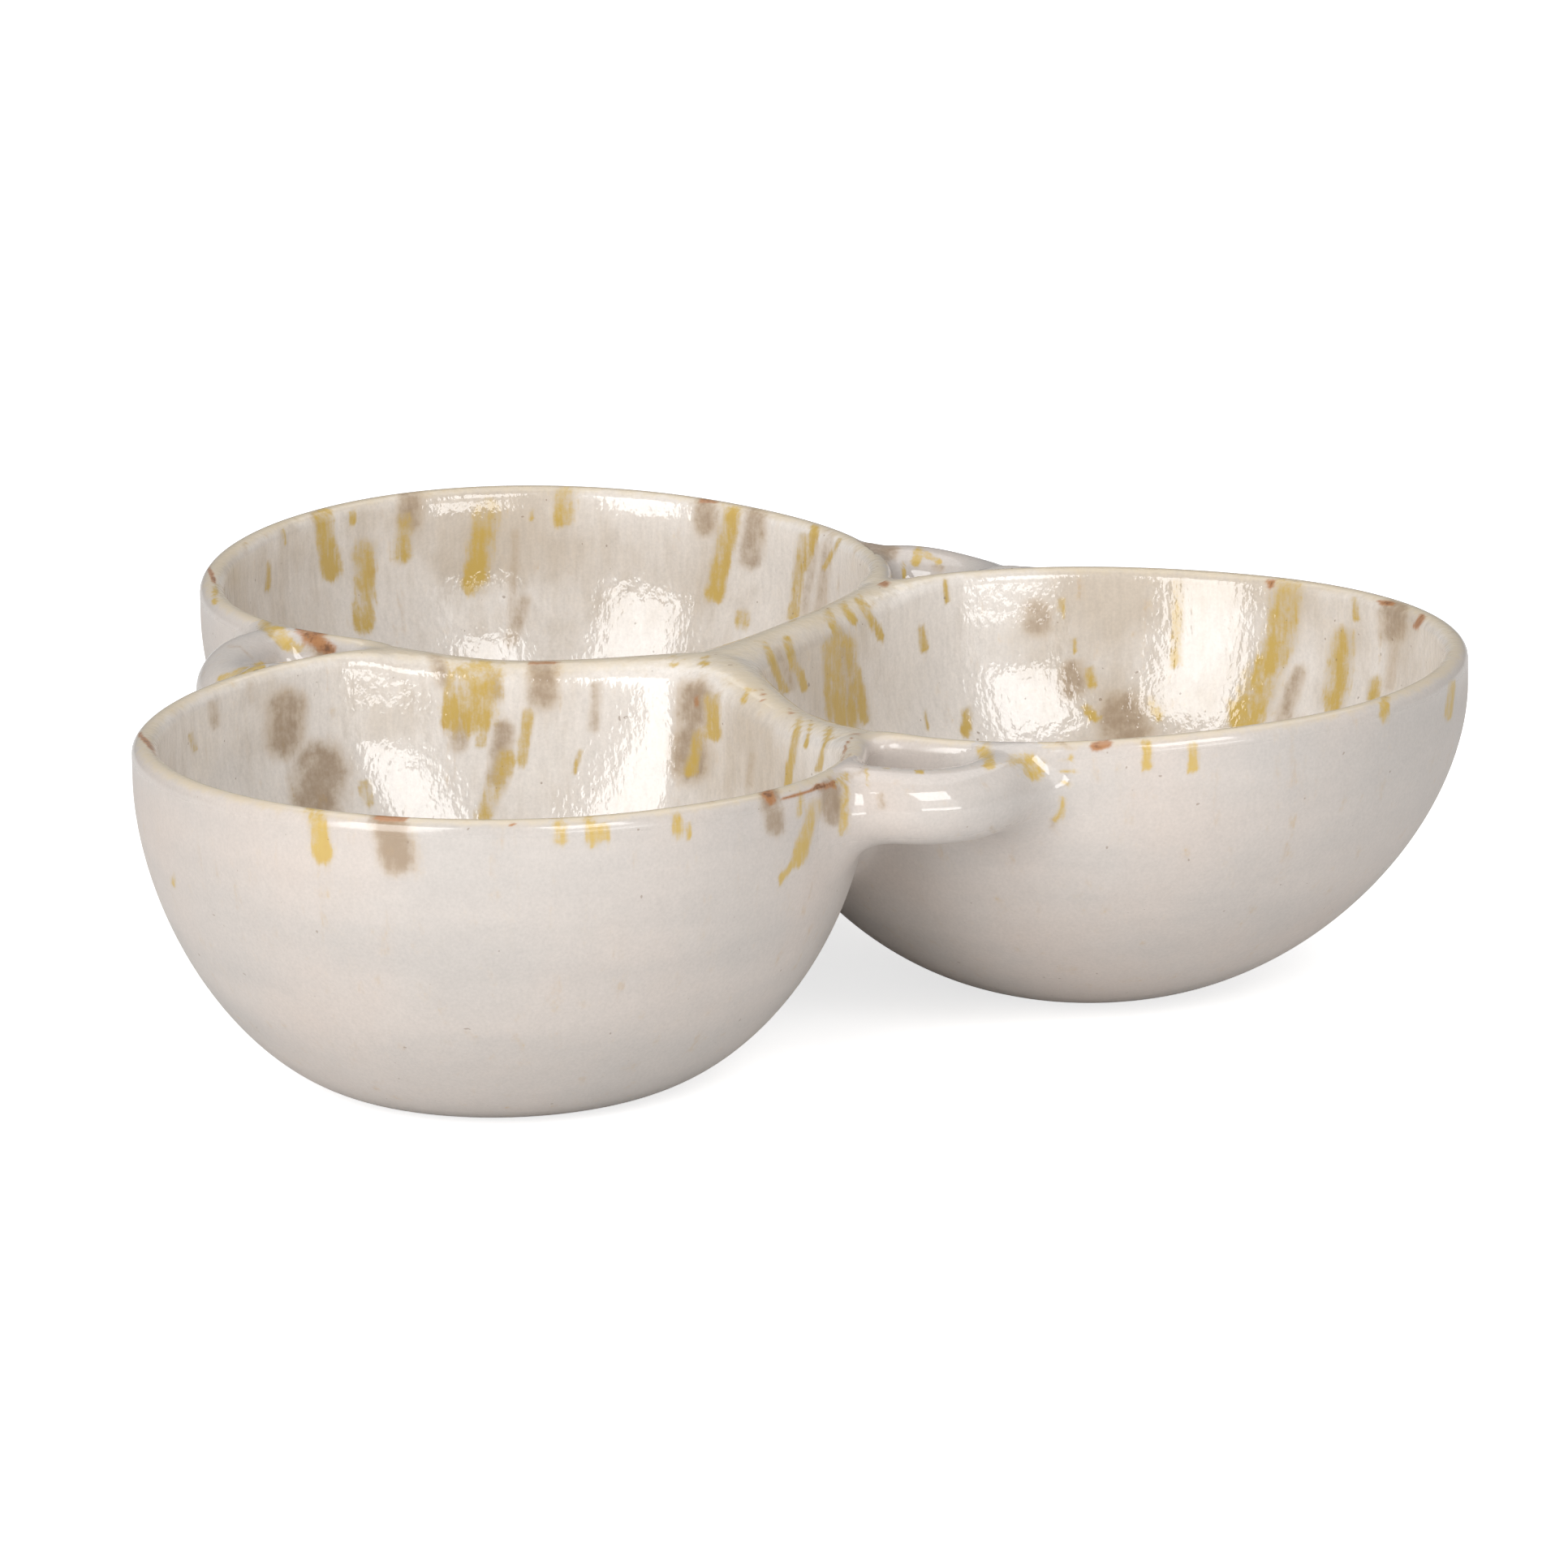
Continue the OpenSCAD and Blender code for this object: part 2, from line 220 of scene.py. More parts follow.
def lip_at(b, th):
    """Radius of the crest of a bowl's lip at angle th."""
    return LIP_R + (OUT[b] + SKEW[b] * wave(th)) * outer_side(th)


def wall_at(b, th, s):
    """Outer radius of a bowl at angle th and a share s of the height."""
    return mix(FOOT_R[b], lip_at(b, th) + LIP_HALF, opened(s, WALL_CURVE))


def cavity_at(b, th, s):
    """Inner radius: the wall's own circle, rounded into the sides of the two shared walls, whose
    own corner in the middle is rounded as well."""
    c_one = np.maximum(np.cos(np.radians(th - MITRE)), LEAST_COSINE)
    c_two = np.maximum(np.cos(np.radians(th + MITRE)), LEAST_COSINE)
    side = HALF_PITCH - RIDGE_HALF
    planes = soft_min(side / c_one, side / c_two, CORNER_SOFT)
    own = mix(FOOT_R[b] - HEEL_W, lip_at(b, th) - LIP_HALF, opened(s, CAVITY_CURVE))
    return soft_min(own, planes, CORNER_SOFT)


def top_at(b, th):
    """Height of the rim: lifted on the outer side, moved at each notch, and dipped like a saddle
    along each shared wall."""
    x = fan_share(th)
    near = grown(np.abs(th), NOTCH_FROM, NOTCH_SPAN) * (1 - soft_step(x))
    bump = np.where(np.abs(x) < 1, (1 - x * x) ** 2, 0)
    return (RIM_H + LIFT[b] * outer_side(th) + at_notch(NOTCH_RISE, b, th) * near
            - at_notch(DIP, b, th) * bump + PEAK_RISE * soft_step(x))


saddles = np.array([top_at(b, MITRE) for b in range(3)])
print("belly radius", round(LIP_R + LIP_HALF, 2), "mm; the shared walls dip to", saddles.round(1), "mm")

# %% [markdown]
# ## Two walls that melt together
# Where two bowls meet, a potter presses a coil of slip into the groove and wipes it smooth. The
# same thing in numbers: take each bowl's distance from its own wall, and let the smaller of them
# round over a few millimetres. The line where that is zero runs along one wall, turns through a
# fillet and leaves along the other. It crosses the seam smoothly and both meshes follow it, so
# they meet without a crease.

# %% The joined outside of the three bowls
FILLET = 7.0
FARTHEST = 110.0
HALVINGS = 30
# The web of slip in the middle grows from this share of the height, over this much more of it.
WEB_FROM, WEB_GROWTH = 0.6, 0.2
# The search for the skin starts at this share of the wall's radius, which is plainly inside.
START_SHARE = 0.4
# The start of a seam is sought from this angle up to this many degrees short of the mitre.
SEAM_FROM, SEAM_SHORT = 95.0, 2.5


def round_wall(b, s, lift_in):
    """Outer radius of bowl b where it is plainly round, for a ring at share s of the height. The
    rings of the lip lie further in, by lift_in."""
    return mix(FOOT_R[b], LIP_R + LIP_HALF, opened(s, WALL_CURVE)) - lift_in


def melted(fields):
    """The distances from the three bowls, joined softly."""
    return soft_min(soft_min(fields[0], fields[1], FILLET), fields[2], FILLET)


def joined(b, th, r, s, lift_in):
    """Distance outside the joined walls, at polar place (th, r) about bowl b and share s of the
    height. The bowls are always joined in the same order, so neighbours agree on it."""
    fields = [None] * 3
    own = wall_at(b, th, s) - lift_in
    past = np.abs(th) > MITRE
    web = WEB * grown(s, WEB_FROM, WEB_GROWTH)
    fields[b] = r - own - np.where(past, web, 0)
    for step, turn in ((1, MITRE), (2, -MITRE)):
        other = (b + step) % 3
        pitch = 2 * HALF_PITCH
        away = np.sqrt(r * r + pitch * pitch - 2 * r * pitch * np.cos(np.radians(th - turn)))
        fields[other] = away - round_wall(other, s, lift_in)
    return melted(fields)


def halved(low, high, on_low_side, times):
    """Narrows the span from low to high by halving it a number of times, and returns both ends."""
    for _ in range(times):
        middle = (low + high) / 2
        below = on_low_side(middle)
        low = np.where(below, middle, low)
        high = np.where(below, high, middle)
    return low, high


def outer_radius(b, th, s, lift_in):
    """Radius of the joined wall, cut off at the seam's plane."""
    plane = np.minimum(plane_at(th, HALF_PITCH), FARTHEST)
    start = np.minimum(START_SHARE * wall_at(b, th, s), plane)
    return halved(start, plane, lambda r: joined(b, th, r, s, lift_in) < 0, HALVINGS)[1]


def seam_angle(b, side, s, lift_in):
    """Angle at which the joined wall reaches the seam on one side, 1 or -1, for each ring."""
    def outside(th):
        return joined(b, side * th, plane_at(th, HALF_PITCH), s, lift_in) > 0

    low, high = np.full_like(s, SEAM_FROM), np.full_like(s, MITRE - SEAM_SHORT)
    return halved(low, high, outside, HALVINGS)[0]


lip_seams = [seam_angle(b, 1, np.array([LIP_SHARE]), np.zeros(1))[0] for b in range(3)]
print("at the lip the seams start at", np.round(lip_seams, 1), "degrees")

# %% [markdown]
# ## One bowl as a grid
# One parameter goes round the bowl and the other runs up the outside, over the lip and down the
# inside. The first has an even step along the round wall and along the seam, with the corner
# between them always on the same column, so the edge of the joint stays crisp. The second is
# closer where the curve is tighter: on the foot and over the lip.

# %% Columns and rings
ARC_COLUMNS, SEAM_COLUMNS, MIDDLE_COLUMNS = 140, 60, 10
WALL_RINGS, LIP_RINGS, CAVITY_RINGS, FOOT_RINGS, FLOOR_RINGS = 78, 7, 74, 10, 12
# The columns of the seam end at this many degrees, and those of the middle follow.
LAST_SEAM = 170.0
# The rings of a wall lie closer towards the foot by this power.
RING_POWER = 1.6
# Number of the ring on the edge of the foot, and of the one on the crest of the lip.
FOOT_EDGE = FOOT_RINGS - 1
CREST = FOOT_EDGE + WALL_RINGS + LIP_RINGS - 1
# Degrees before the seam at which the shoulder starts to widen, and over how many it does.
SHOULDER_LEAD, SHOULDER_SPAN = 14, 26
print(2 * (ARC_COLUMNS + SEAM_COLUMNS + MIDDLE_COLUMNS), "columns round each bowl")


def columns(near):
    """Angles of one ring for the side whose seam starts at angle near, from 0 to 180 degrees."""
    wall = near[:, None] * np.linspace(0, 1, ARC_COLUMNS + 1)
    seam = mix(near[:, None], LAST_SEAM, np.linspace(0, 1, SEAM_COLUMNS + 1)[1:])
    middle = mix(LAST_SEAM, 180.0, np.linspace(0, 1, MIDDLE_COLUMNS + 1)[1:])
    return np.concatenate([wall, seam, middle + 0 * near[:, None]], 1)


def all_round(plus, minus):
    """Joins the angles of both sides into a full ring, from 0 up to 180 and back from -180."""
    return np.concatenate([columns(plus), -columns(minus)[:, -2:0:-1]], 1)


def shoulder(b, th, near):
    """How far the rounding of the rim or ridge reaches down inside: half the lip's thickness on
    the rim, half the ridge's on a shared wall, with a smooth change across the notch."""
    start = np.where(th > 0, near[0], near[1]) - SHOULDER_LEAD
    return mix(LIP_HALF, RIDGE_HALF, grown(np.abs(th), start, SHOULDER_SPAN))


def bowl_grid(b):
    """Angles, radii and heights of bowl b, as rings by columns: foot, wall, outer lip, inner lip,
    cavity and floor."""
    u = np.linspace(0, 1, WALL_RINGS) ** RING_POWER
    a_out = np.radians(np.linspace(0, 90, LIP_RINGS + 1)[1:])
    s = np.concatenate([u * LIP_SHARE, np.full(LIP_RINGS, LIP_SHARE)])
    lift_in = np.concatenate([0 * u, LIP_HALF * (1 - np.cos(a_out))])
    near = [seam_angle(b, side, s, lift_in) for side in (1, -1)]
    th = all_round(*near)
    r = outer_radius(b, th, s[:, None] + 0 * th, lift_in[:, None])
    top = top_at(b, th)
    height = np.concatenate([u, np.ones(LIP_RINGS)])[:, None]
    rise = np.concatenate([0 * u, LIP_HALF * np.sin(a_out)])[:, None]
    z = height * (top - LIP_HALF) + rise

    th_in = th[-1:]
    crest, top_in = r[-1:], top[-1:]
    corner = [near[0][-1], near[1][-1]]
    deep = shoulder(b, th_in, corner)
    width = crest - cavity_at(b, th_in, 1.0)
    a_in = np.radians(np.linspace(90, 0, LIP_RINGS + 1)[1:])[:, None]
    r_lip = crest - width * np.cos(a_in)
    z_lip = top_in - deep * (1 - np.sin(a_in))

    s_in = np.linspace(1, 0, CAVITY_RINGS + 1)[1:, None] ** RING_POWER
    r_cavity = cavity_at(b, th_in, s_in)
    z_cavity = mix(FLOOR_T, top_in - deep, s_in)

    f = np.linspace(1, 0, FLOOR_RINGS + 1)[1:-1, None]
    r_floor = r_cavity[-1:] * f
    z_floor = FLOOR_T + 0 * r_floor
    g = np.linspace(0, 1, FOOT_RINGS + 1)[1:-1, None]
    r_foot = r[:1] * g
    z_foot = 0 * r_foot

    radii = np.concatenate([r_foot, r, r_lip, r_cavity, r_floor])
    heights = np.concatenate([z_foot, z, z_lip, z_cavity, z_floor])
    past_crest = len(radii) - CREST - 1
    turns = np.concatenate([th[:1].repeat(FOOT_EDGE, 0), th, th_in.repeat(past_crest, 0)])
    return turns, radii, heights


def place(b, th, r, z):
    """Polar places about bowl b, as points in mm."""
    angle = np.radians(th + 120 * b)
    return np.stack([centres[b, 0] + r * np.cos(angle), centres[b, 1] + r * np.sin(angle), z], -1)


# %% [markdown]
# ## From a grid to a mesh
# A closed skin is a band of four-sided faces between each two rings, and a fan at both ends. The
# smooth shading comes from the grid itself: the cross product of its two directions. On the seam
# that product is turned into the seam's plane, and then the neighbour has the very same one, so
# the light runs over the joint without a line.

# %% Mesh builder
# A ring whose corner stays this near to the mitre angle doesn't touch its neighbour.
CONTACT_MARGIN = 3.0


def band_faces(rings, sides):
    """Faces of a closed skin of rings by sides, with one more vertex in the middle of each end."""
    ring, column = np.meshgrid(np.arange(rings - 1), np.arange(sides), indexing="ij")
    here = (ring * sides + column).ravel()
    beside = (ring * sides + (column + 1) % sides).ravel()
    quads = np.stack([here, beside, beside + sides, here + sides], 1)
    edge = np.arange(sides)
    after = (edge + 1) % sides
    first, last, end = rings * sides, rings * sides + 1, (rings - 1) * sides
    low = np.stack([np.full(sides, first), after, edge], 1)
    high = np.stack([np.full(sides, last), end + edge, end + after], 1)
    return quads.tolist() + low.tolist() + high.tolist()


def grid_normals(points):
    """Unit normals of a grid of points that is closed round its second direction."""
    along = np.gradient(points, axis=0)
    across = np.roll(points, -1, 1) - np.roll(points, 1, 1)
    normal = np.cross(across, along)
    return normal / np.maximum(np.linalg.norm(normal, axis=-1, keepdims=True), TINY)


def skin(name, points, normals, shares, faces):
    """Makes an object from points in mm, its normals and its attributes of four numbers each."""
    mesh = bpy.data.meshes.new(name)
    mesh.from_pydata((points * MM).tolist(), [], faces)
    mesh.shade_smooth()
    mesh.normals_split_custom_set_from_vertices(normals.tolist())
    for attribute, values in shares.items():
        layer = mesh.attributes.new(attribute, "FLOAT_COLOR", "POINT")
        layer.data.foreach_set("color", values.ravel().astype(np.float32))
    piece = bpy.data.objects.new(name, mesh)
    bpy.context.scene.collection.objects.link(piece)
    print(name, len(mesh.vertices), "points,", sum(len(f) - 2 for f in faces), "triangles")
    return piece


def seam_normals(b, turns, points, normals):
    """Turns the normals on the edge of both seams into the seam's plane, and mends them on the
    corner columns, where the grid bends from the wall onto the seam."""
    sides = points.shape[1]
    for side in (1, -1):
        corner = ARC_COLUMNS if side > 0 else sides - ARC_COLUMNS
        flat = np.radians(side * MITRE + 120 * b)
        across_seam = np.array([np.cos(flat), np.sin(flat), 0.0])
        rows = slice(FOOT_EDGE + 1, CREST + 1)
        along = np.gradient(points[:, corner], axis=0)[rows]
        inward = points[rows, corner] - points[rows, corner - side]
        mended = np.cross(side * inward, along)
        mended -= (mended @ across_seam)[:, None] * across_seam
        size = np.maximum(np.linalg.norm(mended, axis=-1, keepdims=True), TINY)
        contact = np.abs(turns[rows, corner]) < MITRE - CONTACT_MARGIN
        normals[rows, corner] = np.where(contact[:, None], mended / size, normals[rows, corner])
        first, last = corner, corner + side * (SEAM_COLUMNS + MIDDLE_COLUMNS)
        ridge = np.arange(min(first, last), max(first, last) + 1) % sides
        flow = np.gradient(points[CREST, ridge], axis=0)
        up = np.cross(flow, across_seam)
        up *= np.sign(up[:, 2:])
        normals[CREST, ridge] = up / np.linalg.norm(up, axis=-1, keepdims=True)
    middle = ARC_COLUMNS + SEAM_COLUMNS + MIDDLE_COLUMNS
    normals[CREST, middle] = (0, 0, 1)
    return normals


# %% [markdown]
# ## Splashes of ochre and brown
# The colour on the real bowl is flicked and brushed over the wet glaze, mostly along the rims, and
# the fire pulls it downwards. So a mark is a stroke: it has a start, an end and a width. Each was
# read off the photograph, as pixels, and is laid on whatever the camera sees there. A mark
# is kept on the mesh itself, as a colour at each point, so it stays put from every side. What the
# camera can't see gets strokes of the same kind, drawn by chance from a fixed seed.

# %% Strokes read off the photograph
OCHRE, TAUPE, RUST = 0, 1, 2
# A stroke fades from full strength to nothing round its edge, up to this many half-widths out.
EDGE = (1.60, 1.72, 1.60)
# Narrow taupe has run thin: it has this strength at least, and its full one at this width.
WEAKEST = 0.45
BROAD_PX, BROAD_MM = 42.0, 6.0
# A surface counts as seen from this cosine towards the camera on, fully after this much more.
SEEN_FROM, SEEN_FADE = 0.02, 0.12
# For each side and kind, the pixel where a stroke starts, the pixel where it ends, and its width.
READ_OFF = {
    "front_inside": {
        OCHRE: ((588, 812, 580, 878, 62), (556, 836, 552, 888, 16), (651, 880, 642, 940, 16),
            (622, 935, 598, 1002, 28), (602, 880, 592, 916, 16), (875, 862, 880, 904, 20),
            (862, 905, 850, 950, 18), (986, 880, 970, 970, 11), (1026, 888, 1008, 948, 9),
            (1000, 884, 992, 920, 7), (236, 905, 240, 925, 9), (450, 966, 455, 990, 13),
            (831, 810, 831, 818, 14), (868, 811, 868, 820, 10), (921, 849, 915, 866, 8),
            (715, 925, 708, 950, 8)),
        TAUPE: ((262, 868, 265, 892, 15), (355, 872, 350, 912, 48), (396, 945, 390, 1002, 68),
            (307, 843, 309, 862, 11), (537, 812, 546, 838, 24), (606, 836, 609, 856, 24),
            (568, 888, 566, 915, 26), (669, 819, 669, 856, 40), (856, 858, 857, 880, 50),
            (851, 914, 850, 940, 50), (926, 930, 923, 966, 11), (735, 846, 732, 896, 18),
            (620, 900, 612, 960, 30)),
        RUST: ((655, 815, 684, 815, 8), (856, 862, 856, 870, 5), (940, 850, 940, 862, 4),
            (974, 870, 976, 882, 4), (1034, 947, 1043, 916, 3), (1043, 916, 1054, 904, 3),
            (1054, 904, 1070, 910, 3), (1042, 937, 1053, 925, 3), (1053, 925, 1080, 929, 3))},
    "front_outside": {
        OCHRE: ((388, 998, 398, 1050, 26), (688, 1008, 690, 1036, 19), (727, 1009, 729, 1036, 19),
            (747, 1018, 747, 1036, 11), (834, 1006, 836, 1026, 15), (852, 1013, 849, 1030, 6),
            (1006, 990, 982, 1060, 18), (980, 1060, 962, 1084, 8), (1043, 972, 1037, 1026, 10),
            (986, 978, 986, 1002, 8), (213, 1080, 214, 1090, 7)),
        TAUPE: ((476, 1008, 489, 1056, 46), (948, 980, 955, 1018, 27), (1023, 974, 1027, 1004, 30),
            (1086, 982, 1087, 992, 14)),
        RUST: ((946, 978, 950, 986, 14), (962, 986, 1008, 971, 3), (1006, 970, 1030, 966, 8),
            (172, 905, 200, 935, 6), (465, 1008, 500, 1009, 8), (632, 1015, 634, 1017, 4))},
    "right_inside": {
        OCHRE: ((1049, 722, 1086, 786, 12), (1028, 733, 1053, 766, 11), (1014, 746, 1042, 792, 14),
            (1165, 716, 1167, 740, 8), (1134, 774, 1138, 800, 11), (1036, 798, 1042, 884, 38),
            (1018, 799, 1023, 884, 12), (1054, 825, 1066, 884, 16), (968, 788, 990, 846, 12),
            (944, 796, 966, 850, 12), (1342, 826, 1344, 844, 12), (1308, 740, 1310, 757, 10),
            (1322, 790, 1324, 803, 8), (1336, 872, 1350, 886, 12), (1418, 864, 1428, 884, 14),
            (1451, 718, 1449, 816, 15), (1588, 732, 1572, 806, 42), (1562, 822, 1532, 888, 46),
            (1655, 788, 1643, 864, 32), (1693, 842, 1692, 858, 18), (1669, 738, 1672, 762, 10),
            (1193, 878, 1191, 900, 16), (1140, 880, 1143, 900, 6)),
        TAUPE: ((1040, 800, 1052, 870, 22), (958, 800, 975, 846, 14), (1278, 754, 1278, 768, 36),
            (1321, 828, 1322, 846, 34), (1384, 884, 1388, 906, 66), (1719, 750, 1717, 775, 38),
            (1721, 778, 1711, 846, 14), (1600, 830, 1580, 888, 22)),
        RUST: ((1566, 717, 1566, 721, 9), (1752, 760, 1744, 772, 8), (1700, 742, 1716, 744, 6))},
    "right_outside": {
        OCHRE: ((1412, 918, 1414, 943, 12), (1469, 920, 1470, 947, 13), (1707, 860, 1703, 884, 13),
            (1790, 842, 1783, 884, 10), (1320, 932, 1314, 946, 6), (1314, 946, 1314, 980, 6),
            (1314, 980, 1300, 1010, 6), (1206, 924, 1220, 940, 13)),
        TAUPE: ((1297, 1011, 1297, 1018, 13), (1306, 915, 1318, 921, 8)),
        RUST: ((1348, 920, 1366, 916, 11), (1080, 716, 1092, 720, 8))},
    "back_inside": {
        OCHRE: ((395, 632, 408, 704, 26), (448, 676, 448, 768, 28), (499, 640, 497, 684, 22),
            (601, 630, 584, 716, 35), (695, 604, 694, 640, 25), (901, 632, 879, 732, 26),
            (990, 662, 977, 762, 15), (1004, 650, 992, 700, 12), (1034, 665, 1016, 700, 7),
            (915, 758, 915, 768, 20), (331, 697, 330, 728, 8), (348, 655, 351, 668, 8),
            (434, 632, 434, 642, 9), (655, 628, 655, 640, 8)),
        TAUPE: ((387, 632, 392, 644, 20), (506, 612, 504, 640, 34), (635, 658, 631, 770, 13),
            (868, 618, 870, 646, 34), (932, 632, 924, 688, 31), (1004, 673, 990, 757, 14),
            (1022, 655, 1008, 764, 16), (645, 740, 630, 790, 20), (301, 672, 303, 682, 7)),
        RUST: ((864, 616, 880, 617, 7),)},
    "back_outside": {
        OCHRE: ((266, 724, 264, 742, 8), (326, 770, 360, 800, 16)),
        TAUPE: ((388, 784, 398, 806, 24),),
        RUST: ((258, 702, 264, 716, 6), (281, 729, 320, 757, 7), (376, 779, 406, 800, 18),
            (370, 774, 400, 780, 10))},
    "front_handle": {
        OCHRE: ((1249, 934, 1268, 936, 15), (1267, 938, 1276, 952, 22), (1217, 920, 1220, 942, 15),
            (1067, 944, 1069, 968, 6), (1091, 944, 1097, 943, 8), (1129, 951, 1136, 951, 6),
            (1024, 962, 1040, 958, 14)),
        TAUPE: ((1222, 1020, 1225, 1024, 7), (1036, 962, 1064, 950, 9), (1086, 982, 1088, 992, 12))},
    "left_handle": {
        OCHRE: ((322, 772, 348, 776, 12), (346, 776, 366, 800, 13), (273, 836, 322, 821, 12)),
        TAUPE: ((282, 797, 296, 796, 5), (296, 797, 310, 811, 5)),
        RUST: ((378, 780, 406, 800, 16),)},
    "back_handle": {
        OCHRE: ((1134, 674, 1128, 694, 12), (1136, 680, 1156, 692, 9), (1113, 694, 1114, 712, 5)),
        TAUPE: ((1068, 668, 1096, 680, 26), (1150, 698, 1160, 700, 12)),
        RUST: ((1080, 717, 1092, 719, 7),)}}
STROKES = {
    side: [(kind, *row) for kind, rows in kinds.items() for row in rows]
    for side, kinds in READ_OFF.items()}
print(sum(len(rows) for rows in STROKES.values()), "strokes read off the photograph")


def laid(points, rows, broad):
    """Strength of ochre, taupe and rust at each point: full along a stroke and fading to 0 outside
    it. Taupe narrower than broad is weaker. The fourth number is how much ochre has pooled, which
    grows towards the stroke's end. Points and strokes are in pixels, or in mm along a wall."""
    strength = np.zeros((len(points), 4))
    for kind, x0, y0, x1, y1, width in rows:
        start, way = np.array([x0, y0], float), np.array([x1 - x0, y1 - y0], float)
        share = np.clip((points - start) @ way / max(way @ way, TINY), 0, 1)
        off = np.linalg.norm(points - start - share[:, None] * way, axis=1) / (width / 2)
        cover = soft_step((EDGE[kind] - off) / (2 * (EDGE[kind] - 1)))
        if kind == TAUPE:
            cover *= mix(WEAKEST, 1.0, soft_step(width / broad))
        strength[:, kind] = np.maximum(strength[:, kind], cover)
        if kind == OCHRE:
            strength[:, 3] = np.maximum(strength[:, 3], cover * share)
    return strength


# Strokes drawn by chance, in mm. The rim counts from this far above its crest.
RIM_START = -1.0
STROKE_LENGTH, STROKE_WIDTH, STROKE_DRIFT = (2, 14), (1.6, 6.0), (-1, 1)
RUST_LENGTH, RUST_WIDTH = 0.5, 1.2


def chance_strokes(rng, count, round_mm, deepest):
    """Strokes in mm: along the rim and below it. All run down, and most start at the rim: all of
    the rust ones, and half of the others."""
    rows = []
    for _ in range(count):
        kind = int(rng.choice([OCHRE, OCHRE, OCHRE, TAUPE, TAUPE, RUST]))
        x, start = rng.uniform(0, round_mm), rng.choice([RIM_START, rng.uniform(0, deepest)])
        length, width = rng.uniform(*STROKE_LENGTH), rng.uniform(*STROKE_WIDTH)
        if kind == RUST:
            start, length, width = RIM_START, RUST_LENGTH, RUST_WIDTH
        rows.append((kind, x, start, x + rng.uniform(*STROKE_DRIFT), start + length, width))
    return rows


def splashes(points, normals, photo_rows, rim_place, rows):
    """Marks at each point: those of the photograph where its camera sees the surface, and the ones
    drawn by chance where it doesn't."""
    to_eye = EYE - points
    facing = (to_eye * normals).sum(-1) / np.linalg.norm(to_eye, axis=-1)
    seen = grown(facing, SEEN_FROM, SEEN_FADE)[:, None]
    shown = laid(to_photo(points), photo_rows, BROAD_PX)
    return seen * shown + (1 - seen) * laid(rim_place, rows, BROAD_MM)


# %% [markdown]
# ## The skin of one bowl
# Judging by its highlights, the real wall leans back below the lip, and the front bowl's far wall
# is a little skew. The mesh could be bent to that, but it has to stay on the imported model, so only
# the normals are tipped. Each point also gets its share of gloss, crest, bare clay and inside,
# counted in rings from the crest, and the strokes that fall on it.

# %% Build the three bowls
# Degrees by which the normals of a cavity lean at the lip, and by how many more further down.
LEAN = (12.0, 14.0, 12.0)
LEAN_BELOW = (0.0, 0.0, 9.0)
# Depth in mm at which the lean has faded, and the start and span of the further lean.
LEAN_DEPTH = (60.0, 9.0, 110.0)
BELOW_MM = (9, 10)
# The front bowl's far wall turns by this many degrees, between these two angles round the bowl,
# and the turn fades beyond both over the last number of degrees.
YAW, YAW_FROM, YAW_TO, YAW_FADE = (0.0, 0.0, 6.5), -113.0, -138.0, 12.0
# Rings past the crest at which a share starts and over how many it grows; bare clay counts them
# inwards from the edge of the foot, and the crest's share fades over its number on both sides.
INSIDE_RINGS, GLOSS_RINGS, LEAN_RINGS, BARE_RINGS = (-2, 4), (-12, 10), (3, 6), (-4, 3)
CREST_RINGS = 8
# Side of the wall, number of strokes drawn by chance on it, and how deep they start, in mm.
CHANCE = (("inside", 34, 26), ("outside", 18, 5))
SEED = 11


def leaning(normals, lean, yaw):
    """Turns normals by yaw degrees about the upright axis, and adds the tangent of lean to their
    rise, which tips a level one up by lean degrees."""
    turn = np.radians(yaw)
    x, y, z = normals[..., 0], normals[..., 1], normals[..., 2] + np.tan(np.radians(lean))
    tipped = np.stack(
        [x * np.cos(turn) - y * np.sin(turn), x * np.sin(turn) + y * np.cos(turn), z], -1)
    return tipped / np.linalg.norm(tipped, axis=-1, keepdims=True)


def opened_normals(b, turns, normals, past_crest, deep):
    """The normals of bowl b, with those of its cavity leaning and turned as on the real wall."""
    near_lip = grown(past_crest, *LEAN_RINGS) * (1 - soft_step(deep / LEAN_DEPTH[b]))
    skewed = soft_step((YAW_FROM + YAW_FADE - turns) / YAW_FADE) * (
        1 - soft_step((YAW_TO - turns) / YAW_FADE))
    lean = LEAN[b] + LEAN_BELOW[b] * grown(deep, *BELOW_MM)
    return leaning(normals, lean * near_lip, YAW[b] * skewed * near_lip)


def bowl_marks(b, points, normals, rim_place, inside, near_crest):
    """Strokes on each point of bowl b: those of its inside or its outside, and both on the crest.
    What the photograph can't show is drawn by chance, first inside and then outside."""
    rng = np.random.default_rng(SEED + b)
    marks = []
    for side, count, deepest in CHANCE:
        rows = chance_strokes(rng, count, 2 * np.pi * LIP_R, deepest)
        photo_rows = STROKES[SIDES[b] + "_" + side]
        marks.append(splashes(points, normals, photo_rows, rim_place, rows))
    share = inside.ravel()[:, None]
    rim_share = np.maximum(1 - share, near_crest.ravel()[:, None])
    return np.maximum(share * marks[0], rim_share * marks[1])


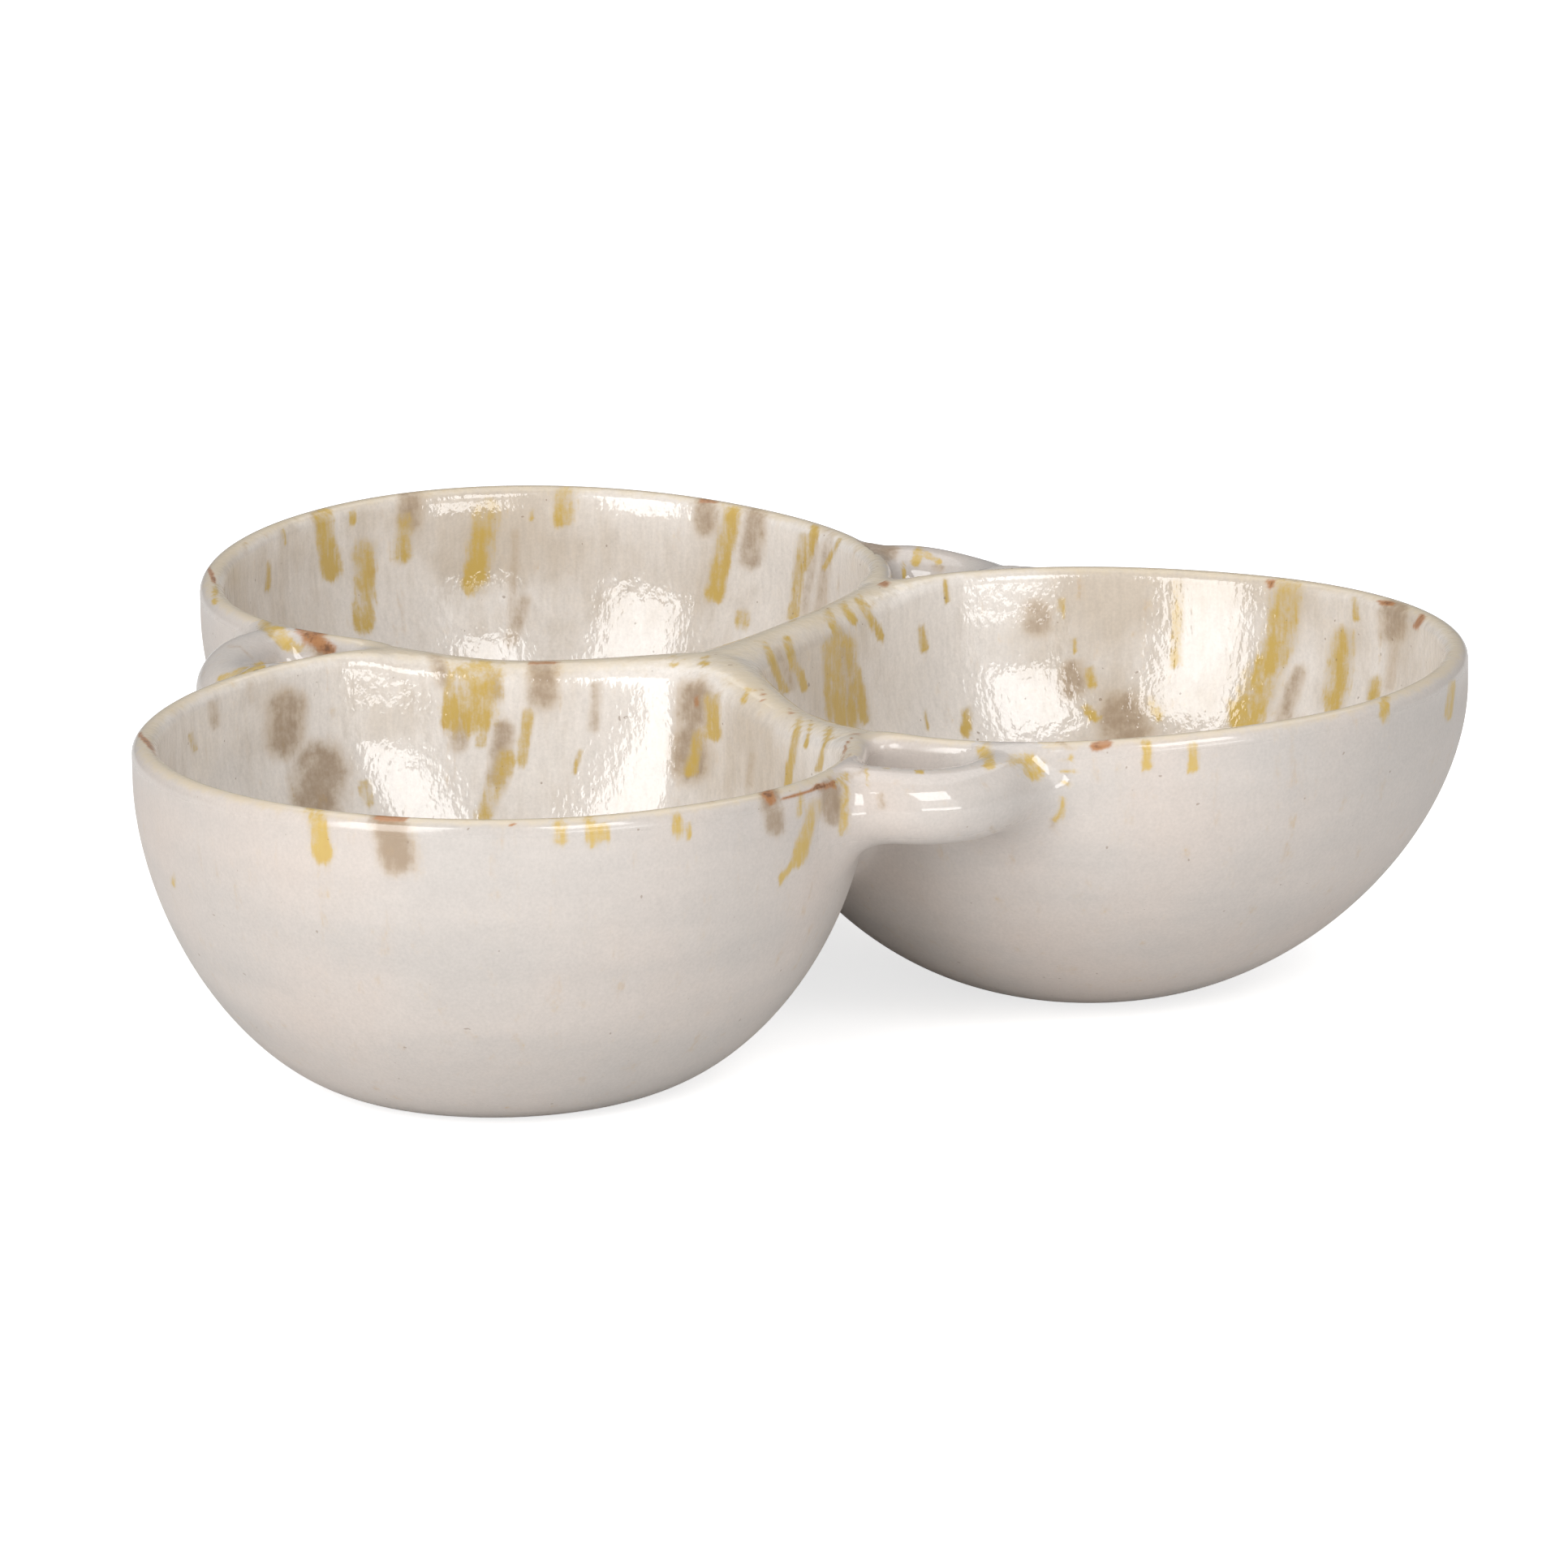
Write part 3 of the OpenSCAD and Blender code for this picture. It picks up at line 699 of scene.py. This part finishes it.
def make_bowl(b):
    """One thrown and cut bowl as a closed skin, with the places and marks that its glaze follows."""
    turns, radii, heights = bowl_grid(b)
    points = place(b, turns, radii, heights)
    normals = seam_normals(b, turns, points, grid_normals(points))
    rings, sides = turns.shape
    order = np.arange(rings)[:, None] + 0 * turns
    past_crest = order - CREST
    inside = grown(past_crest, *INSIDE_RINGS)
    near_crest = soft_step(1 - np.abs(past_crest) / CREST_RINGS)
    gloss = np.maximum(inside, grown(past_crest, *GLOSS_RINGS))
    bare = grown(FOOT_EDGE - order, *BARE_RINGS)
    deep = top_at(b, turns) - heights
    normals = opened_normals(b, turns, normals, past_crest, deep)
    along = np.radians(turns % 360).ravel() * LIP_R
    flat = points.reshape(-1, 3)
    flat_normals = normals.reshape(-1, 3)
    rim_place = np.stack([along, deep.ravel()], 1)
    marks = bowl_marks(b, flat, flat_normals, rim_place, inside, near_crest)
    spots = np.stack([gloss, near_crest, bare, inside], -1).reshape(-1, 4)
    # Two more points close the skin: the middle of the foot is bare, that of the floor is glossy.
    ends = np.array([[*centres[b], 0.0], [*centres[b], FLOOR_T]])
    piece = skin(
        BOWLS[b] + "_glazed", np.concatenate([flat, ends]),
        np.concatenate([flat_normals, [[0, 0, -1], [0, 0, 1]]]),
        {"places": np.concatenate([spots, [[0, 0, 1, 0], [1, 0, 0, 1]]]),
         "marks": np.concatenate([marks, np.zeros((2, 4))])},
        band_faces(rings, sides))
    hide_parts(BOWLS[b])
    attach(piece, "root")
    return piece


bowls = [make_bowl(b) for b in range(3)]

# %% [markdown]
# ## A pulled handle
# A pulled handle is a strap of wet clay, stroked until it is round and even, then bent across the
# notch and pressed onto both walls. Where it is pressed on, the thumb smears it out over the wall
# and downwards, so it grows wide below and stays level with the rim above. A tube with stuck-on
# discs would show an edge there. Instead each ray from the tube's centre line stops where the
# distances to tube and wall, joined softly, come to zero.

# %% Sizes of the handles in mm
HANDLE_R = 6.8
FINGER_GAP = 20.5
# Each half of a handle bends with this radius through this many degrees, and then runs straight.
BEND = 20.0
TURN = 38.0
# One value for each handle, back, left and front: how far it slides along its notch, hangs below
# the rim and climbs towards its second bowl.
SLIDE = (3.0, 0.0, 3.0)
HANDLE_DROP = (-0.3, -0.6, 2.8)
CLIMB = (2.0, -2.0, 0.0)
SMEAR_SIDE = 9.0
SMEAR_TOP = 3.0
# Sine round the section from which the smear starts to narrow, and over how much more it does.
TOP_FROM, TOP_SPAN = -0.2, 1.1
TOP_COVER = 0.3
# The handle's height follows the rims at this angle round each bowl, fully at this length in mm.
ROOT_TURN = 105.0
ROOT_REACH = 22
# The smeared top stays this far above a rim at most, plus a share of how far out it lies, softly.
CAP_OVER, CAP_SLOPE, CAP_SOFT = 0.05, 0.2, 0.4
# The edge of each end is folded this far into the clay.
SUNK = 0.6
NOTCH_N = SPREAD * wave(FAN) + np.sqrt((LIP_R + LIP_HALF) ** 2 - HALF_PITCH ** 2)
HANDLE_N = NOTCH_N + FINGER_GAP + HANDLE_R
# Columns round a handle and rows along it. At an even share of 1 the rows would be evenly apart.
HANDLE_COLUMNS, HANDLE_ROWS, EVEN_SHARE = 72, 60, 0.75
# A handle's ends are sought between these lengths in mm, and its skin from this share of its radius
# outwards. Both searches go in steps of this many mm, and that for the skin goes on by halving.
SHORTEST, LONGEST = 6.0, 52.0
CORE_SHARE, MARCH, RAY_HALVINGS = 0.5, 0.25, 12
# A wall's slope is taken from this share of its height up, over this much more of it.
LEAST_SHARE, SHARE_STEP = 0.02, 0.01
# Height from which a handle starts to be glossy, and over how much more it gets so.
GLOSS_FROM, GLOSS_FADE = 44.0, 12.0
# The smeared ends of a handle carry on the strokes of the walls that they lie on.
NEAR_HANDLE = (
    STROKES["right_outside"] + STROKES["back_outside"],
    STROKES["back_outside"] + STROKES["front_outside"],
    STROKES["front_outside"] + STROKES["right_outside"])
print("handle's middle lies", round(float(HANDLE_N), 1), "mm from the axis")


def polar(points, b):
    """Angle in degrees and radius in mm of points, about the centre of bowl b."""
    flat = points[..., :2] - centres[b]
    th = np.degrees(np.arctan2(flat[..., 1], flat[..., 0])) - 120 * b
    return (th + 180) % 360 - 180, np.hypot(flat[..., 0], flat[..., 1])


def wall_gap(points):
    """Distance in mm from the joined skin of the bowls: off the wall below the lip's middle, and
    off the lip's round section above it, with the bowls joined softly."""
    fields = []
    for b in range(3):
        th, r = polar(points, b)
        middle = top_at(b, th) - LIP_HALF
        z = points[..., 2]
        s = np.clip(z / middle, LEAST_SHARE, 1) * LIP_SHARE
        rise = SHARE_STEP * middle / LIP_SHARE
        slope = (wall_at(b, th, s + SHARE_STEP) - wall_at(b, th, s)) / rise
        side = (r - wall_at(b, th, s)) / np.sqrt(1 + slope ** 2)
        lip = np.hypot(r - lip_at(b, th), z - middle) - LIP_HALF
        fields.append(np.where(z > middle, np.where(r > lip_at(b, th), lip, -LIP_HALF), side))
    return melted(fields)


def handle_line(h, w):
    """Centre of handle h and its outward direction, at length w along it from its middle: an arc
    of the bend's radius, then straight on into the walls. Heights follow the rim near the walls."""
    a = np.clip(w / BEND, -np.radians(TURN), np.radians(TURN))
    rest = np.abs(w) - BEND * np.abs(a)
    n = HANDLE_N - BEND * (1 - np.cos(a)) - rest * np.sin(np.abs(a))
    t = BEND * np.sin(a) + np.sign(w) * rest * np.cos(a) + SLIDE[h]
    turn = np.radians(60 + 120 * h)
    x = axis[0] + n * np.cos(turn) - t * np.sin(turn)
    y = axis[1] + n * np.sin(turn) + t * np.cos(turn)
    level = RIM_H - HANDLE_DROP[h] - HANDLE_R + CLIMB[h] * np.sin(a)
    rim = np.where(w > 0, top_at((h + 1) % 3, -ROOT_TURN), top_at(h, ROOT_TURN))
    level = mix(level, rim - HANDLE_R - TOP_COVER, soft_step(np.abs(w) / ROOT_REACH))
    out = np.stack([np.cos(turn + a), np.sin(turn + a), 0 * a], -1)
    return np.stack([x, y, level], -1), out


def handle_point(h, w, f, rho):
    """Point of handle h at length w, at angle f round its section and rho from its centre."""
    centre, out = handle_line(h, w)
    flat = (rho * np.cos(f))[..., None] * out
    rise = rho * np.sin(f)
    return centre + flat + np.stack([0 * rise, 0 * rise, rise], -1)


def under_rim(h, points):
    """Keeps the smeared top of a handle from standing above the rims that it runs into."""
    points = points.copy()
    for b in (h, (h + 1) % 3):
        th, r = polar(points, b)
        off = np.maximum(r - lip_at(b, th), 0)
        cap = top_at(b, th) + CAP_OVER + CAP_SLOPE * off
        points[..., 2] = soft_min(points[..., 2], cap, CAP_SOFT)
    return points


def smear(f):
    """How wide the clay is smeared onto the wall: wide at the sides and below, little on top."""
    return mix(SMEAR_SIDE, SMEAR_TOP, grown(np.sin(f), TOP_FROM, TOP_SPAN))


def handle_end(h, side, f):
    """Length at which the smeared edge of the handle meets the wall, for each angle f."""
    steps = np.arange(SHORTEST, LONGEST, MARCH)[:, None]
    w = side * steps + 0 * f
    gap = wall_gap(handle_point(h, w, f, HANDLE_R + smear(f)))
    first = np.argmax(gap < 0, 0)
    before = np.take_along_axis(gap, np.maximum(first - 1, 0)[None], 0)[0]
    after = np.take_along_axis(gap, first[None], 0)[0]
    share = before / np.maximum(before - after, TINY)
    return side * (steps[np.maximum(first - 1, 0), 0] + MARCH * np.clip(share, 0, 1))


def handle_grid(h):
    """Rows along the handle by columns round it: the radius on each ray is where the distances to
    tube and wall, joined softly, come to zero."""
    def field(rho):
        return soft_min(rho - HANDLE_R, wall_gap(handle_point(h, w, f, rho)), k)

    f = -np.linspace(0, 2 * np.pi, HANDLE_COLUMNS, endpoint=False)
    low, high = handle_end(h, -1, f), handle_end(h, 1, f)
    share = np.linspace(-1, 1, HANDLE_ROWS)
    share = EVEN_SHARE * share + (1 - EVEN_SHARE) * share ** 3
    w = mix(low, high, (share[:, None] + 1) / 2)
    k = smear(f)
    rho = np.full_like(w, CORE_SHARE * HANDLE_R)
    found = np.zeros(w.shape, bool)
    for _ in range(int((HANDLE_R * (1 - CORE_SHARE) + SMEAR_SIDE) / MARCH) + 1):
        ahead = rho + MARCH
        found |= (field(ahead) > 0) | (ahead > HANDLE_R + k)
        rho = np.where(found, rho, ahead)
    rho = halved(rho, rho + MARCH, lambda ray: field(ray) < 0, RAY_HALVINGS)[0]
    return under_rim(h, handle_point(h, w, f, np.minimum(rho, HANDLE_R + k)))


def make_handle(h):
    """One pulled handle, whose smeared ends lie on the walls, closed by faces inside the clay."""
    points = handle_grid(h)
    normals = grid_normals(points)
    sunk = []
    for end in (0, -1):
        sunk.append(points[end] - SUNK * normals[end])
    points = np.concatenate([sunk[0][None], points, sunk[1][None]])
    normals = np.concatenate([normals[:1], normals, normals[-1:]])
    ends = np.stack([points[0].mean(0), points[-1].mean(0)])
    flat_points = np.concatenate([points.reshape(-1, 3), ends])
    flat_normals = np.concatenate([normals.reshape(-1, 3), [[0, 0, 1], [0, 0, 1]]])
    marks = splashes(flat_points, flat_normals, STROKES[HANDLES[h]] + NEAR_HANDLE[h],
                     flat_points[:, :2], ())
    gloss = grown(flat_points[:, 2], GLOSS_FROM, GLOSS_FADE)
    spots = np.stack([gloss, 0 * gloss, 0 * gloss, 0 * gloss], 1)
    piece = skin(HANDLES[h] + "_glazed", flat_points, flat_normals,
                 {"places": spots, "marks": marks}, band_faces(len(points), HANDLE_COLUMNS))
    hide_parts(HANDLES[h])
    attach(piece, "root")
    return piece


handles = [make_handle(h) for h in range(3)]

# %% [markdown]
# ## Writing a shader as a sum
# A finish is arithmetic: a little of this colour where that noise is high. Written as a chain of
# nodes it is hard to read, so one small class wraps a node's output, and adding or multiplying
# two of them adds the Math node that does it.

# %% Shader helpers
# A Mix node's sockets for its two colours, and for the colour that it gives.
MIX_A, MIX_B, MIX_RESULT = 6, 7, 2


class Flow:
    """What one output of a node gives, such as a number or a colour that changes over the surface.
    Numbers add, subtract and multiply."""

    def __init__(self, paint, socket):
        self.paint, self.socket = paint, socket

    def _math(self, operation, a, b):
        return self.paint.node("ShaderNodeMath", {"operation": operation}, {0: a, 1: b})

    def __add__(self, other):
        return self._math("ADD", self, other)

    def __radd__(self, other):
        return self._math("ADD", other, self)

    def __sub__(self, other):
        return self._math("SUBTRACT", self, other)

    def __rsub__(self, other):
        return self._math("SUBTRACT", other, self)

    def __mul__(self, other):
        return self._math("MULTIPLY", self, other)

    def __rmul__(self, other):
        return self._math("MULTIPLY", other, self)


class Paint:
    """A material or a world under construction. Its nodes come from the one method node, and
    finished adds the last one."""

    def __init__(self, dressed):
        self.dressed = dressed
        self.dressed.use_nodes = True
        self.tree = self.dressed.node_tree
        self.tree.nodes.clear()

    def node(self, kind, settings=None, inputs=None, output=0):
        """Adds a node: first its settings, then the values or links of its inputs."""
        made = self.tree.nodes.new(kind)
        for key, value in (settings or {}).items():
            setattr(made, key, value)
        for key, value in (inputs or {}).items():
            if isinstance(value, Flow):
                self.tree.links.new(value.socket, made.inputs[key])
            else:
                made.inputs[key].default_value = value
        return Flow(self, made.outputs[output])

    def finished(self, shader, kind="Material"):
        """Ends the material, or the world, with this shader as its surface, and gives it back."""
        out = self.tree.nodes.new("ShaderNodeOutput" + kind)
        self.tree.links.new(shader.socket, out.inputs["Surface"])
        return self.dressed

    def colours(self, share, a, b, blend="MIX"):
        """A colour that goes from a to b as share goes from 0 to 1."""
        a, b = [c if isinstance(c, Flow) else (*c, 1.0) for c in (a, b)]
        return self.node("ShaderNodeMix", {"data_type": "RGBA", "blend_type": blend},
                         {"Factor": share, MIX_A: a, MIX_B: b}, MIX_RESULT)

    def noise(self, where, scale, detail=2.0, rough=0.5):
        """Cloudy noise from 0 to 1, with patches of about one part in scale of a metre."""
        return self.node("ShaderNodeTexNoise", {}, {
            "Vector": where, "Scale": scale, "Detail": detail, "Roughness": rough})

    def stretched(self, where, scales):
        """The same places with each axis scaled, so that noise on them is drawn out."""
        return self.node("ShaderNodeMapping", {}, {"Vector": where, "Scale": scales})

    def ramp(self, value, low, high):
        """0 below low and 1 above high, with a smooth climb between them."""
        return self.node("ShaderNodeMapRange", {"interpolation_type": "SMOOTHSTEP"}, {
            "Value": value, "From Min": low, "From Max": high})

    def split(self, colour):
        """The red, green and blue of a colour, as three numbers."""
        first = self.node("ShaderNodeSeparateColor", {}, {"Color": colour})
        return [Flow(self, socket) for socket in first.socket.node.outputs]


# %% [markdown]
# ## The glaze
# A reactive glaze is one recipe that fires to many tones. Where it lies thick it is milky and
# cool; where it ran thin, warm clay shows through. Inside the bowls it is glossy, and its skin
# has the fine ripple of an orange, which breaks the edges of every reflection. Outside it is
# satin with faint bands, thrown rings that the glaze makes visible. On the crest of the lip it
# runs off and leaves a thin cream line. The colours are linear, as the shader wants them.

# %% Glaze material
MILKY = (0.560, 0.505, 0.462)
COOL = (0.490, 0.452, 0.420)
WARM = (0.560, 0.480, 0.425)
# The two inside tones are the glaze's grey and pale clouds, painted lighter than the outside ones as
# painted light for the shaded cavities.
PALE_WITH_PAINTED_LIGHT = (0.690, 0.640, 0.590)
GREY_WITH_PAINTED_LIGHT = (0.540, 0.470, 0.392)
CREAM = (0.600, 0.500, 0.350)
CLAY = (0.420, 0.335, 0.250)
OCHRE_THIN = (0.500, 0.385, 0.215)
OCHRE_THICK = (0.510, 0.345, 0.072)
TAUPE_THIN = (0.440, 0.318, 0.190)
TAUPE_THICK = (0.272, 0.192, 0.122)
RUST_THIN = (0.370, 0.160, 0.056)
RUST_THICK = (0.130, 0.060, 0.035)
SPECK = (0.220, 0.150, 0.100)
# Roughness of the outside and of the cavities, and how strongly the glaze bends light.
SATIN, GLOSSY = 0.46, 0.05
GLAZE_IOR = 1.60


def noises(paint, where):
    """The noises that the glaze is mixed from, by name. Two more lie round 0: ragged frays the edge
    of a mark, and fine streaks the inside of it."""
    noise = {
        "clouds": paint.noise(where, 26.0, 4.0, 0.55),
        "bands": paint.noise(paint.stretched(where, (9.0, 9.0, 75.0)), 1.0, 3.0, 0.5),
        "streaks": paint.noise(paint.stretched(where, (900.0, 900.0, 170.0)), 1.0, 2.0, 0.6),
        "runs": paint.noise(paint.stretched(where, (300.0, 300.0, 45.0)), 1.0, 3.0, 0.65),
        "grain": paint.noise(where, 1700.0, 2.0, 0.6),
        "mottle": paint.noise(where, 330.0, 3.0, 0.65)}
    noise["ragged"] = (noise["runs"] - 0.5) * 1.7 + (noise["mottle"] - 0.5) * 0.9
    noise["fine"] = (noise["streaks"] - 0.5) * 1.3 + (noise["grain"] - 0.5) * 0.7
    return noise


def ground(paint, noise, inside, crest):
    """Tone of the plain glaze: cool and milky bands with warm clouds outside, grey and pale clouds
    inside, painted lighter than the outside as painted light in the cavities, a fine grain over both,
    and cream where it runs off the crest."""
    band = paint.ramp(noise["bands"] * 0.65 + noise["clouds"] * 0.35, 0.36, 0.64)
    outer = paint.colours(band, COOL, MILKY)
    outer = paint.colours(paint.ramp(noise["clouds"], 0.42, 0.75) * 0.6, outer, WARM)
    milk = paint.ramp(noise["clouds"] * 0.8 + noise["runs"] * 0.2, 0.34, 0.56)
    # The inside tones carry painted light that lifts the cavities.
    inner = paint.colours(milk, GREY_WITH_PAINTED_LIGHT, PALE_WITH_PAINTED_LIGHT)
    tone = paint.colours(inside, outer, inner)
    depth = (noise["grain"] - 0.5) * 0.24 + (noise["mottle"] - 0.5) * 0.12
    depth = depth + (noise["streaks"] - 0.5) * inside * 0.22 + 1.0
    shade = paint.node("ShaderNodeCombineColor", {}, {0: depth, 1: depth, 2: depth})
    tone = paint.colours(1.0, tone, shade, "MULTIPLY")
    thin = paint.ramp(crest + noise["ragged"] * 0.5, 0.35, 1.05)
    return paint.colours(thin * 0.75, tone, CREAM)


def splashed(paint, noise, where, tone, inside):
    """The tone with its marks over it: each kind is a thin wash with a thicker core, and dark
    specks of iron lie over all."""
    marks = paint.node("ShaderNodeAttribute", {"attribute_name": "marks"}, {}, "Color")
    pool = Flow(paint, marks.socket.node.outputs["Alpha"])
    ochre, taupe, rust = paint.split(marks)
    ragged, fine, mottled = noise["ragged"], noise["fine"], noise["mottle"] - 0.5
    halo = paint.ramp(taupe + ragged * 0.55, 0.05, 1.00)
    tone = paint.colours(halo * 0.60, tone, TAUPE_THIN)
    core = paint.ramp(taupe * (1.30 - inside * 0.28) + mottled * 1.2 + fine * 0.5, 0.40, 1.30)
    tone = paint.colours(core * 0.76, tone, TAUPE_THICK)
    thin = paint.ramp(ochre + ragged * 0.85 + fine * 0.35, 0.10, 1.05)
    tone = paint.colours(thin * 0.66, tone, OCHRE_THIN)
    thick = paint.ramp(ochre * 0.80 + pool * 0.30 + ragged * 1.15 + fine * 0.55, 0.40, 1.20)
    tone = paint.colours(thick * 0.88, tone, OCHRE_THICK)
    tone = paint.colours(paint.ramp(rust + ragged * 0.6, 0.10, 0.95) * 0.88, tone, RUST_THIN)
    dark = paint.ramp(rust + mottled * 1.6 + fine * 0.6, 0.80, 1.40)
    tone = paint.colours(dark * 0.80, tone, RUST_THICK)
    specks = paint.ramp(paint.noise(where, 640.0, 1.0, 0.5), 0.770, 0.800)
    return paint.colours(specks * 0.55, tone, SPECK)


def ripple(paint, noise, where, inside):
    """Normals of the glaze's skin from a relief in mm: a slow swell, a fine ripple that is much
    stronger inside, and a grain."""
    swell = paint.noise(where, 95.0, 1.0, 0.4) * 0.080
    peel = paint.noise(paint.stretched(where, (760.0, 760.0, 480.0)), 1.0, 2.0, 0.5)
    height = swell + peel * (0.014 + inside * 0.100) + noise["grain"] * 0.003
    return paint.node("ShaderNodeBump", {}, {
        "Strength": 1.0, "Distance": MM, "Height": height}, "Normal")


def glaze():
    """The one glaze of the whole object. The attribute places gives gloss, crest, bare clay and
    inside, and the attribute marks gives ochre, taupe, rust and pooled ochre."""
    paint = Paint(bpy.data.materials.new("stoneware_glaze"))
    where = paint.node("ShaderNodeTexCoord", {}, {}, "Object")
    places = paint.node("ShaderNodeAttribute", {"attribute_name": "places"}, {}, "Color")
    inside = Flow(paint, places.socket.node.outputs["Alpha"])
    gloss, crest, bare = paint.split(places)
    noise = noises(paint, where)
    tone = splashed(paint, noise, where, ground(paint, noise, inside, crest), inside)
    tone = paint.colours(bare, tone, paint.colours(noise["grain"], CLAY, WARM))
    roughness = SATIN - gloss * (SATIN - GLOSSY) + (noise["mottle"] - 0.5) * 0.06 + bare * 0.35
    shader = paint.node("ShaderNodeBsdfPrincipled", {}, {
        "Base Color": tone, "Roughness": roughness, "IOR": GLAZE_IOR,
        "Normal": ripple(paint, noise, where, inside)}, "BSDF")
    return paint.finished(shader)


glazed = glaze()
for piece in bowls + handles:
    piece.data.materials.append(glazed)
print(len(glazed.node_tree.nodes), "nodes in the glaze")

# %% [markdown]
# ## Floor
# The floor is a white sheet. Seen straight from the camera it also glows a little, so that it
# comes out white without more light on the bowl, and it still keeps the bowl's shadow. It lies a
# hair below the feet, because two faces in one plane would show stripes from below.

# %% Floor
FLOOR_HALF = 4
FLOOR_GLOW = 0.72
FLOOR_DROP = 0.00005
WHITE = (1.0, 1.0, 1.0, 1.0)
PAPER = (0.80, 0.80, 0.80, 1.0)


def floor_paint():
    """White paper, plus a glow that only the camera's own rays see."""
    paint = Paint(bpy.data.materials.new("studio_floor"))
    seen = paint.node("ShaderNodeLightPath", output="Is Camera Ray")
    paper = paint.node("ShaderNodeBsdfDiffuse", {}, {"Color": PAPER}, "BSDF")
    glow = paint.node("ShaderNodeEmission", {}, {
        "Color": WHITE, "Strength": seen * FLOOR_GLOW}, "Emission")
    both = paint.node("ShaderNodeAddShader", {}, {0: paper, 1: glow}, "Shader")
    return paint.finished(both)


corners = [(x * FLOOR_HALF, y * FLOOR_HALF, 0) for x, y in ((-1, -1), (1, -1), (1, 1), (-1, 1))]
floor_mesh = bpy.data.meshes.new("floor")
floor_mesh.from_pydata(corners, [], [(0, 1, 2, 3)])
floor = bpy.data.objects.new("floor", floor_mesh)
floor.location.z = -FLOOR_DROP
bpy.context.scene.collection.objects.link(floor)
floor_mesh.materials.append(floor_paint())
print("floor", 2 * FLOOR_HALF, "m wide")

# %% [markdown]
# ## Light
# A glossy cavity is a map of the studio: the way from the camera to each highlight and on to the
# lamp gives the lamp's direction. Here it shows a tall softbox on the left, and one on the right
# whose middle is dim, so that one is three boxes above each other. A wide fill overhead stands for
# the light that a bright room throws back. The world is white for the camera and dim for the bowl.

# %% Lamps and room
ROOM_LIGHT = 0.3
# Name, direction and height as seen from the bowl in degrees, distance and size in m, and watts.
LAMPS = (
    ("left_softbox", -35, 27.5, 1.8, (0.93, 1.64), 26),
    ("right_softbox_foot", 32, 6.5, 1.8, (0.96, 0.22), 3.8),
    ("right_softbox_middle", 32, 20, 1.8, (0.93, 0.63), 2.2),
    ("right_softbox_top", 32, 43.5, 1.8, (0.72, 0.79), 10.3),
    ("overhead_fill", 180, 70, 2.0, (1.8, 1.8), 10))


def softbox(name, azimuth, elevation, distance, size, power):
    """A flat lamp that faces the bowl, placed by its direction as seen from the bowl: 0 degrees is
    the front and 90 the right."""
    turn, tilt = np.radians(azimuth), np.radians(elevation)
    back = np.array([np.sin(turn) * np.cos(tilt), -np.cos(turn) * np.cos(tilt), np.sin(tilt)])
    data = bpy.data.lights.new(name, "AREA")
    data.shape = "RECTANGLE"
    data.size, data.size_y = size
    data.energy = power
    lamp = bpy.data.objects.new(name, data)
    lamp.location = Vector(back * distance)
    lamp.rotation_euler = Vector(-back).to_track_quat("-Z", "Y").to_euler()
    bpy.context.scene.collection.objects.link(lamp)


def room():
    """A world of strength 1, which is white, for the camera's rays and dimmer for all others."""
    paint = Paint(bpy.data.worlds.new("studio"))
    seen = paint.node("ShaderNodeLightPath", output="Is Camera Ray")
    strength = paint.node("ShaderNodeMapRange", {}, {"Value": seen, "To Min": ROOM_LIGHT})
    light = paint.node("ShaderNodeBackground", {}, {"Color": WHITE, "Strength": strength})
    return paint.finished(light, "World")


for lamp_row in LAMPS:
    softbox(*lamp_row)
bpy.context.scene.world = room()
bpy.context.scene.view_settings.view_transform = "Standard"
print(len(LAMPS), "lamps of", round(sum(row[-1] for row in LAMPS), 1), "W in all")
